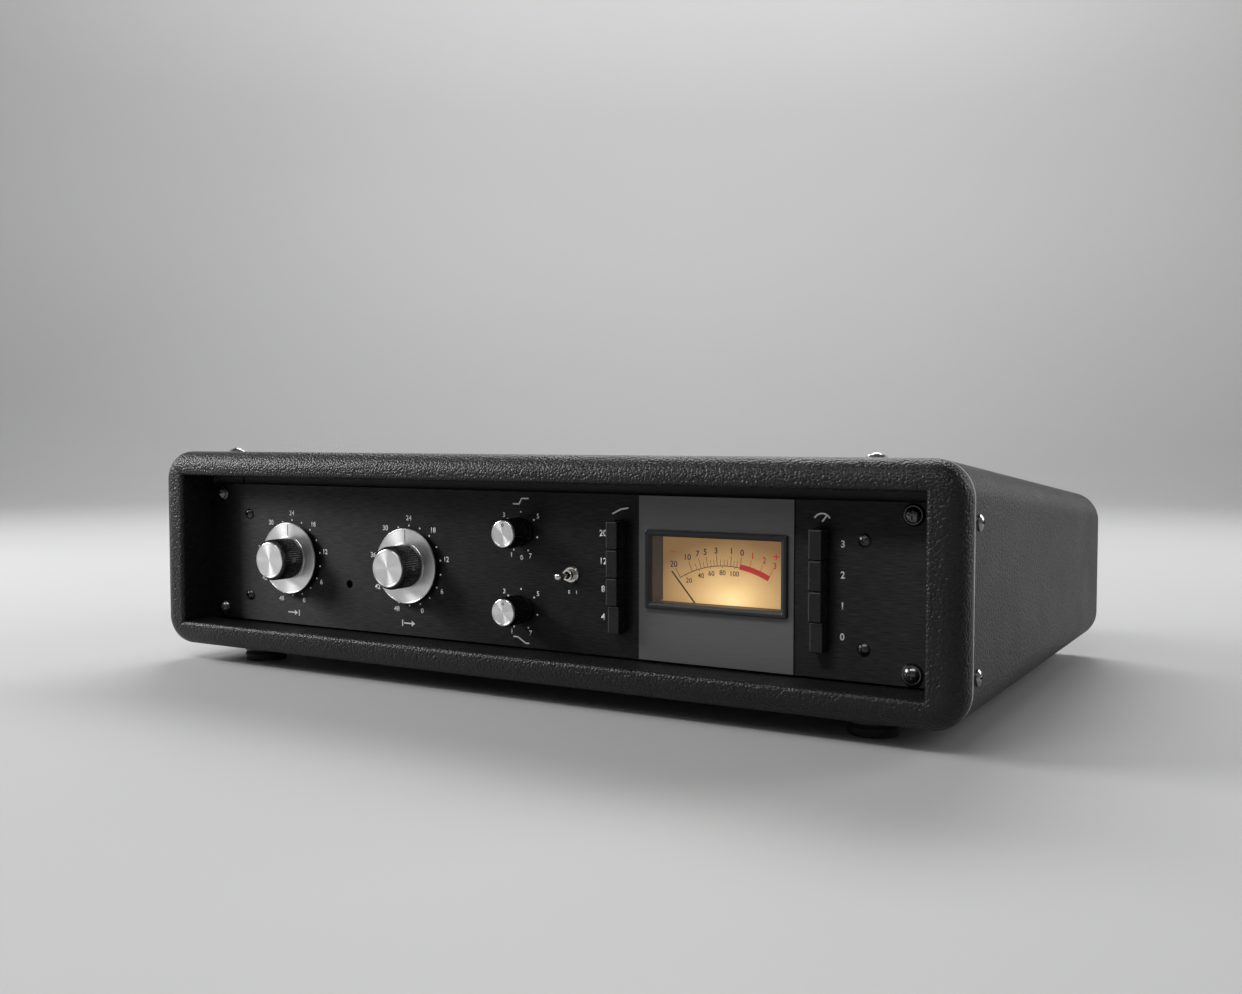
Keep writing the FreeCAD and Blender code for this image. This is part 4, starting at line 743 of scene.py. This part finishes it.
def grip(name, body, flutes, rim):
    """Fluted black grip with a chamfered front and a seat for its cap."""
    node = f"{name}_knob"
    radius = radius_of(node)
    foot, front = depths(node, body)
    bore = radius_of(f"{name}_shaft") + FIT_GAP
    seat = radius_of(f"{name}_cap") + FIT_GAP
    floor = depths(f"{name}_cap", body)[0] - FIT_GAP
    outline = [
        (bore, foot),
        (radius - 0.5, foot),
        (radius, foot + 0.5),
        (radius, foot + 1.1),
        (radius, foot + 1.5, FLUTE_DEPTH),
        (radius, front - 1.4, FLUTE_DEPTH),
        (radius - 0.1, front - 0.7, FLUTE_DEPTH * 0.8),
        (radius - rim, front, 0.1),
        (seat + 0.12, front),
        (seat, front - 0.12),
        (seat, floor),
        (bore, floor),
    ]
    made = turned(f"{name}_fluted_grip", outline, on_joint(node, body),
                  FINISHES["knob_black"], body, flutes=flutes)
    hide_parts(node)


def cap(name, body):
    """Spun cap with a bright rim and a shallow dished face."""
    node = f"{name}_cap"
    radius = radius_of(node)
    foot, front = depths(node, body)
    outline = [
        (0, foot),
        (radius, foot),
        (radius, front - 0.45),
        (radius - 0.12, front - 0.18),
        (radius - 0.42, front),
        (radius - 0.85, front),
        (radius - 1.05, front - 0.12),
        (radius * 0.5, front - 0.17),
        (0, front - 0.2),
    ]
    made = turned(f"{name}_spun_cap", outline, on_joint(node, body),
                  FINISHES["spun_aluminium"], body, sides=128)
    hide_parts(node)


def skirt(name, body):
    """Thin spun skirt with a raised bead round its edge and another at the foot of the grip."""
    node = f"{name}_skirt"
    radius = radius_of(node)
    foot, front = depths(node, body)
    bore = radius_of(f"{name}_shaft") + FIT_GAP
    grip_radius = radius_of(f"{name}_knob")
    nut_room = grip_radius - NUT_COVER
    outline = [
        (bore, foot + 0.4),
        (nut_room, foot + 0.4),
        (nut_room, foot),
        (radius - 0.5, foot),
        (radius, foot + 0.5),
        (radius, front - 0.25),
        (radius - 0.08, front - 0.07),
        (radius - 0.25, front),
        (radius - 0.5, front),
        (radius - 0.7, front - SKIRT_DISH),
        (grip_radius + 1.2, front - SKIRT_DISH),
        (grip_radius + 1.0, front),
        (grip_radius + 0.4, front),
        (bore, front),
    ]
    made = turned(f"{name}_spun_skirt", outline, on_joint(node, body),
                  FINISHES["spun_aluminium"], body, sides=160)
    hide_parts(node)
    centre = middle(node)
    ground = stand(centre.x, corners(node)[0].y + SKIRT_DISH, centre.z)
    line = Drawing(f"{name}_pointer_line", ground, BLACK_INK, body)
    line.stroke((0, grip_radius + 1.2), (0, radius - 0.9), POINTER_WIDTH)
    line.lay()


def grub_screw(name, body):
    """Grub screw with a deep round socket in the side of a grip."""
    outline = [
        (0, -2.0),
        (1.45, -2.0),
        (1.45, -0.15),
        (1.3, 0),
        (0.85, 0),
        (0.75, -0.1),
        (0.75, -1.0),
        (0, -1.2),
    ]
    centre = middle(f"{name}_knob")
    side = corners(f"{name}_knob")[1].x - GRUB_SINK
    turned(f"{name}_grub_screw", outline, stand(side, centre.y + GRUB_BACK, centre.z, RIGHT),
           FINISHES["bright_steel"], body, sides=48)


def cap_mark(name, body):
    """Small painted ring near the top of a small dial's cap."""
    node = f"{name}_cap"
    centre = middle(node)
    face = corners(node)[0].y + MARK_DEPTH
    mark = Drawing(f"{name}_cap_mark", stand(centre.x, face, centre.z), BLACK_INK, body)
    mark.arc(0, halves(node)[1] - MARK_INSET, MARK_RADIUS, 0, 360, MARK_WIDTH)
    mark.lay()


def dials():
    """The pieces of the four dials: skirts under the two large ones, painted marks on the small ones."""
    for name in ("input", "output"):
        body = f"{name}_dial"
        skirt(name, body)
        grip(name, body, LARGE_FLUTES, LARGE_RIM)
        cap(name, body)
        grub_screw(name, body)
    for name in ("attack", "release"):
        body = f"{name}_dial"
        grip(name, body, SMALL_FLUTES, SMALL_RIM)
        cap(name, body)
        cap_mark(name, body)


# ---- buttons ----

EDGE_INSET = 0.6
EDGE_WIDTH = 0.3


def button_edges():
    """Thin lines of painted highlight along the top and left edges of each button's face."""
    for bank in ("ratio", "meter"):
        for count in range(1, 5):
            name = f"{bank}_button_{count}"
            centre = middle(name)
            face = corners(name)[0].y
            right, top = (half - EDGE_INSET for half in halves(name))
            # this thin light line is a painted highlight where the edge would catch light
            worn = Drawing(f"{name}_edge", stand(centre.x, face, centre.z), EDGE_HIGHLIGHT_INK, name)
            worn.path([(-right, -top), (-right, top), (right, top)], EDGE_WIDTH)
            worn.lay()


# ---- meter ----

SHADE_GAP = 0.3
SHADE_WALL = 0.6
SHADE_EDGE = 0.12
WINDOW_LAP = 0.7


def meter_frame():
    """Moulded bezel with a rounded rim that slopes in to the glass."""
    low, high = corners("meter_bezel")
    wide, tall = halves("meter_bezel")
    window_wide, window_tall = (half - WINDOW_LAP for half in halves("meter_glass"))
    front, back = PANEL_FACE - low.y, PANEL_FACE - high.y
    foot = PANEL_FACE - corners("meter_plate")[0].y
    glass_front = PANEL_FACE - corners("meter_glass")[0].y
    outline = [(wide + grow, tall + grow, radius, height) for grow, radius, height in (
        (-0.1, 1.2, foot),
        (0, 1.3, foot + 0.1),
        (0, 1.3, front - 0.9),
        (-0.12, 1.2, front - 0.4),
        (-0.45, 1.0, front - 0.1),
        (-0.9, 0.8, front),
        (-1.7, 0.6, front),
        (-2.0, 0.5, front - 0.12),
    )]
    outline += [(window_wide + grow, window_tall + grow, 0.3, height) for grow, height in (
        (0.15, glass_front + 0.15),
        (0, glass_front + 0.05),
        (0, glass_front),
        (0.8, glass_front),
        (0.8, back),
        (1.7, back),
        (1.7, foot),
    )]
    centre = middle("meter_bezel")
    made = framed("meter_moulded_bezel", outline, stand(centre.x, PANEL_FACE, centre.z), BEZEL_GREY,
                  CABINET)
    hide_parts("meter_bezel")


def meter_shade():
    """Dark brown walls between the glass and the card, their brown a painted reflection of the lit card;
    the lower one stops short of the needle.
    """
    glass_low, glass_high = corners("meter_glass")
    needle = corners("meter_needle")[0].y - SHADE_GAP
    front, card = glass_high.y + SHADE_GAP, CARD_FACE - SHADE_GAP
    left, right = glass_low.x + SHADE_WALL, glass_high.x - SHADE_WALL
    bottom, top = glass_low.z + SHADE_WALL, glass_high.z - SHADE_WALL
    far_left, far_right = left - SHADE_WALL, right + SHADE_WALL
    mesh = bmesh.new()
    slab(mesh, (far_left, front, bottom), (left, card, top))
    slab(mesh, (right, front, bottom), (far_right, card, top))
    slab(mesh, (far_left, front, top), (far_right, card, top + SHADE_WALL))
    slab(mesh, (far_left, front, bottom - SHADE_WALL), (far_right, needle, bottom))
    made = piece("meter_shade", mesh, Matrix.Identity(4), WALL_BROWN_PAINTED_REFLECTION, CABINET)
    edge = made.modifiers.new("edge", "BEVEL")
    edge.width = SHADE_EDGE * MM
    edge.segments = 2


# ---- packing ----

STRIP_THICKNESS = 1.5
STRIP_INSET = 0.3
STRIP_DROP = 3        # how far it reaches down behind the panel
RAIL_FLANGE = 19


def packing_strips():
    """Black foam on top of each rack rail and beside the lid; it closes the gap under the frame."""
    rail_low, rail_high = corners("rack_rails")
    front, back = rail_low.y + STRIP_INSET, rail_high.y - STRIP_INSET
    top = rail_high.z + STRIP_THICKNESS
    lid_side = corners("chassis_lid")[1].x + STRIP_INSET
    flange_edge = rail_high.x - RAIL_FLANGE
    mesh = bmesh.new()
    for sign in (-1, 1):
        slab(mesh, (sign * flange_edge, front, rail_high.z),
             (sign * (rail_high.x - STRIP_INSET), back, top))
        slab(mesh, (sign * lid_side, front, panel_high.z - STRIP_DROP),
             (sign * (flange_edge - FIT_GAP), back, top))
    piece("packing_strips", mesh, Matrix.Identity(4), FINISHES["powder_black"], CABINET)


# ---- prints ----

DOT_RADIUS = 0.56
SIGN_STROKE = 0.8
ARROW_HALF = 4.2
ARROW_DROP = 34.8
LARGE_SCALE = {"dot_radius": 24.0, "figure_radius": 28.4, "size": 3.1}
LARGE_STEP = 40                   # degrees from one figure to the next
LARGE_FIRST, LARGE_LESS = 48, 6   # the first figure, and how much less each next one is
SMALL_SCALE = {"dot_radius": 11.4, "figure_radius": 14.8, "size": 2.8}
SMALL_PLACES = 7
CURVE_HALF = 5.4
CURVE_RISE = 1.6
BANK_REACH = 10.8
BANK_SIGN_RISE = 5.2


def dial_scale(panel, centre, dots, figures, dot_radius, figure_radius, size):
    """Dots and figures round a dial, at angles clockwise from straight up."""
    for angle in dots:
        panel.dot(*around(centre, dot_radius, angle), DOT_RADIUS)
    for angle, figure in figures:
        panel.number(str(figure), *around(centre, figure_radius, angle), size)


def arrow(panel, x, y, bar_side):
    """A small arrow that runs to a bar or away from one."""
    panel.stroke((x - ARROW_HALF, y), (x + 1.8, y), SIGN_STROKE)
    panel.shape([(x + 1.6, y - 1.7), (x + ARROW_HALF, y), (x + 1.6, y + 1.7)])
    bar = x + bar_side * (ARROW_HALF + 1.2)
    panel.stroke((bar, y - 1.9), (bar, y + 1.9), SIGN_STROKE)


def curve(panel, x, y, bends, slope):
    """A level line that climbs or falls between two bends and runs on level."""
    low, high = y - slope * CURVE_RISE, y + slope * CURVE_RISE
    panel.path([(x - CURVE_HALF, low), (x + bends[0], low), (x + bends[1], high),
                (x + CURVE_HALF, high)], SIGN_STROKE)


def on_panel(body):
    """A body's axis as a point of the panel's drawing."""
    axis = pivot(body)
    return axis.x, axis.z - PANEL_MID


def panel_print():
    """Dots, numbers and plain signs on the front panel."""
    panel = Drawing("panel_print", stand(0, PANEL_FACE, PANEL_MID), WHITE_INK)
    for name, bar_side in (("input", 1), ("output", -1)):
        centre = on_panel(f"{name}_dial")
        ends = range(-4 * LARGE_STEP, 4 * LARGE_STEP + 1, LARGE_STEP)
        figures = [(angle, LARGE_FIRST - LARGE_LESS * count) for count, angle in enumerate(ends)]
        dial_scale(panel, centre, range(0, 360, LARGE_STEP // 2), figures, **LARGE_SCALE)
        arrow(panel, centre[0], centre[1] - ARROW_DROP, bar_side)
    for name in ("attack", "release"):
        step = 360 / SMALL_PLACES
        dots = [step * count for count in range(-3, 4)]
        figures = [(step * (count - 3), count + 1) for count in (0, 2, 4, 6)]
        dial_scale(panel, on_panel(f"{name}_dial"), dots, figures, **SMALL_SCALE)
    attack = on_panel("attack_dial")
    release = on_panel("release_dial")
    curve(panel, attack[0], attack[1] + 17.4, (-1.2, 0.6), 1)
    curve(panel, release[0], release[1] - 17.6, (-2.4, 3.0), -1)
    panel.number("0", attack[0] + 0.6, attack[1] - 14.6, SMALL_SCALE["size"])
    toggle = on_panel("toggle")
    for side, figure in ((-1, "0"), (1, "1")):
        panel.number(figure, toggle[0] + side * 2.4, toggle[1] - 10.0, 2.0)
    bank_labels(panel, "ratio", (20, 12, 8, 4), -1)
    bank_labels(panel, "meter", (3, 2, 1, 0), 1)
    panel.lay()


def bank_labels(panel, bank, figures, side):
    """A number beside each button of a bank, and a sign above the bank."""
    for count, figure in enumerate(figures, start=1):
        centre = middle(f"{bank}_button_{count}")
        panel.number(str(figure), centre.x + side * BANK_REACH, centre.z - PANEL_MID, 3.5)
    x = middle(f"{bank}_button_1").x
    y = corners(f"{bank}_button_1")[1].z - PANEL_MID + BANK_SIGN_RISE
    if bank == "ratio":
        panel.path([(x - 5, y - 1.7), (x + 0.4, y + 0.9), (x + 5, y + 1.7)], SIGN_STROKE)
    else:
        panel.arc(x, y - 2.4, 4.6, -60, 60, SIGN_STROKE, 8)
        panel.stroke((x, y - 1.8), (x + 2.2, y + 1.0), SIGN_STROKE)


# ---- meter scale: angles clockwise from straight up, about a point below the card ----

SCALE_CENTRE = (0, -45)
SCALE_RADIUS = 52.3
SCALE_START, SCALE_ZERO, SCALE_END = -31.5, 8.6, 27.5
ARC_WIDTH = 0.38
RED_RAISE, RED_WIDTH = 0.6, 2.9
LONG_TICK, SHORT_TICK, LOWER_TICK = 5.6, 3.4, 1.2
LONG_WIDTH, SHORT_WIDTH = 0.3, 0.24
RED_TICK_FROM = 2.0
UPPER_RISE, UPPER_SIZE = 8.0, 3.3
LOWER_DROP, LOWER_SIZE = 3.7, 2.7
MINUS_X, PLUS_X, SIGN_HEIGHT = -31.5, 28.5, 13.6
SIGN_HALF, SIGN_WIDTH = 1.7, 0.6
UPPER_FIGURES = ((-31, "20"), (-22.3, "10"), (-16.2, "7"), (-11.7, "5"), (-5.6, "3"), (3, "1"),
                 (8.8, "0"))
RED_FIGURES = ((14.6, "1"), (21.2, "2"), (27.3, "3"))
SHORT_TICKS = (-19, -14, -9.5, -7.5, -3.4, -1.2, 0.8, 4.9, 6.8)
LOWER_FIGURES = ((-26.7, "20"), (-17.6, "40"), (-10.1, "60"), (-2.4, "80"), (5.6, "100"))


def tick(drawing, angle, first, last, width):
    """A stroke across the scale, between two distances from its arc."""
    drawing.stroke(around(SCALE_CENTRE, SCALE_RADIUS + first, angle),
                   around(SCALE_CENTRE, SCALE_RADIUS + last, angle), width)


def meter_prints():
    """The meter's scale: a black arc with ticks and numbers, and a thick red end."""
    place = stand(METER_X, CARD_FACE, PANEL_MID)
    black = Drawing("meter_scale_black", place, BLACK_INK)
    red = Drawing("meter_scale_red", place, RED_INK)
    black.arc(*SCALE_CENTRE, SCALE_RADIUS, SCALE_START, SCALE_ZERO, ARC_WIDTH)
    red.arc(*SCALE_CENTRE, SCALE_RADIUS + RED_RAISE, SCALE_ZERO, SCALE_END, RED_WIDTH)
    for drawing, figures, first in ((black, UPPER_FIGURES, 0), (red, RED_FIGURES, RED_TICK_FROM)):
        for angle, figure in figures:
            point = around(SCALE_CENTRE, SCALE_RADIUS + UPPER_RISE, angle)
            drawing.number(figure, *point, UPPER_SIZE, weight=0.02)
            tick(drawing, angle, first, LONG_TICK, LONG_WIDTH)
    for angle in SHORT_TICKS:
        tick(black, angle, 0, SHORT_TICK, SHORT_WIDTH)
    for angle, figure in LOWER_FIGURES:
        point = around(SCALE_CENTRE, SCALE_RADIUS - LOWER_DROP, angle)
        black.number(figure, *point, LOWER_SIZE, weight=0.015)
        tick(black, angle, -LOWER_TICK, 0, SHORT_WIDTH)
    for x in (MINUS_X, PLUS_X):
        red.stroke((x - SIGN_HALF, SIGN_HEIGHT), (x + SIGN_HALF, SIGN_HEIGHT), SIGN_WIDTH)
    red.stroke((PLUS_X, SIGN_HEIGHT - SIGN_HALF), (PLUS_X, SIGN_HEIGHT + SIGN_HALF), SIGN_WIDTH)
    black.lay()
    red.lay()


# ---- rear prints ----

REAR_SIGN_REACH = 21


def rear_print():
    """Numbers and plain signs beside the rear sockets."""
    rear = Drawing("rear_print", stand(0, REAR_FACE, PANEL_MID, REAR), WHITE_INK)
    for count, node in enumerate(("input_socket", "output_connector", "fuse_holder", "mains_inlet"), 1):
        centre = middle(node)
        rear.number(str(count), -centre.x, centre.z - PANEL_MID + REAR_SIGN_REACH, 3.2)
    for node, side in (("input_socket", 1), ("output_connector", -1)):
        centre = middle(node)
        arrow(rear, -centre.x, centre.z - PANEL_MID - REAR_SIGN_REACH, side)
    rear.lay()


# ---- studio, in metres ----

FLOOR_RADIUS = 2.2
BEND_RADIUS = 1.2
WALL_HEIGHT = 2.4
EYE = (0.4137, -0.7226, 0.1474)
LENS = 36.51
LOOK_DOWN, LOOK_LEFT = 2.802, 30.385
SKY = (0.93, 0.95, 1.0, 1)
SKY_STRENGTH = 0.08


def sweep():
    """A pale floor that curves up into a low round wall."""
    bend = [(FLOOR_RADIUS + BEND_RADIUS * math.sin(turn), BEND_RADIUS - BEND_RADIUS * math.cos(turn))
            for turn in [math.radians(9 * count) for count in range(11)]]
    outline = [(0, 0), *bend, (FLOOR_RADIUS + BEND_RADIUS, WALL_HEIGHT)]
    floor = turned("studio_sweep", [(radius / MM, height / MM) for radius, height in outline],
                   Matrix.Identity(4), studio_paper(), sides=128, angle=60)


def softbox(name, place, aim, width, height, power):
    lamp = bpy.data.lights.new(name, "AREA")
    lamp.shape = "RECTANGLE"
    lamp.size = width
    lamp.size_y = height
    lamp.energy = power
    made = bpy.data.objects.new(name, lamp)
    made.location = place
    made.rotation_euler = (Vector(aim) - Vector(place)).to_track_quat("-Z", "Y").to_euler()
    made.visible_camera = False
    bpy.context.scene.collection.objects.link(made)


def light():
    """One large soft light from the left, and weaker ones above, in front, at the side and on the wall."""
    world = bpy.data.worlds.new("studio_air")
    world.use_nodes = True
    background = world.node_tree.nodes["Background"]
    background.inputs["Color"].default_value = SKY
    background.inputs["Strength"].default_value = SKY_STRENGTH
    bpy.context.scene.world = world
    softbox("key_softbox", (-1.6, -0.7, 0.85), (-0.1, -0.14, 0.07), 0.9, 0.6, power=30)
    softbox("rim_softbox", (-0.5, 1.1, 1.4), (0.05, -0.1, 0.12), 1.6, 0.5, power=24)
    softbox("front_softbox", (0.1, -1.3, 1.5), (0.05, -0.14, 0.08), 1.6, 0.3, power=14)
    softbox("side_softbox", (1.3, 1.3, 0.8), (0.25, 0.05, 0.06), 0.7, 0.9, power=13)
    softbox("backdrop_softbox", (-0.9, 1.7, 2.3), (-1.6, 2.8, 0.9), 2.4, 0.6, power=45)


def camera():
    """Low, from the right of the front, looking a little down."""
    lens = bpy.data.cameras.new("camera")
    lens.sensor_width = 36
    lens.lens = LENS
    eye = bpy.data.objects.new("camera", lens)
    eye.location = EYE
    eye.rotation_euler = (math.radians(90 - LOOK_DOWN), 0, math.radians(LOOK_LEFT))
    bpy.context.scene.collection.objects.link(eye)
    bpy.context.scene.camera = eye


dress_frame()
dials()
panel_print()
button_edges()
meter_frame()
meter_shade()
meter_prints()
packing_strips()
rear_print()
sweep()
light()
camera()
bpy.context.scene.view_settings.view_transform = "Standard"
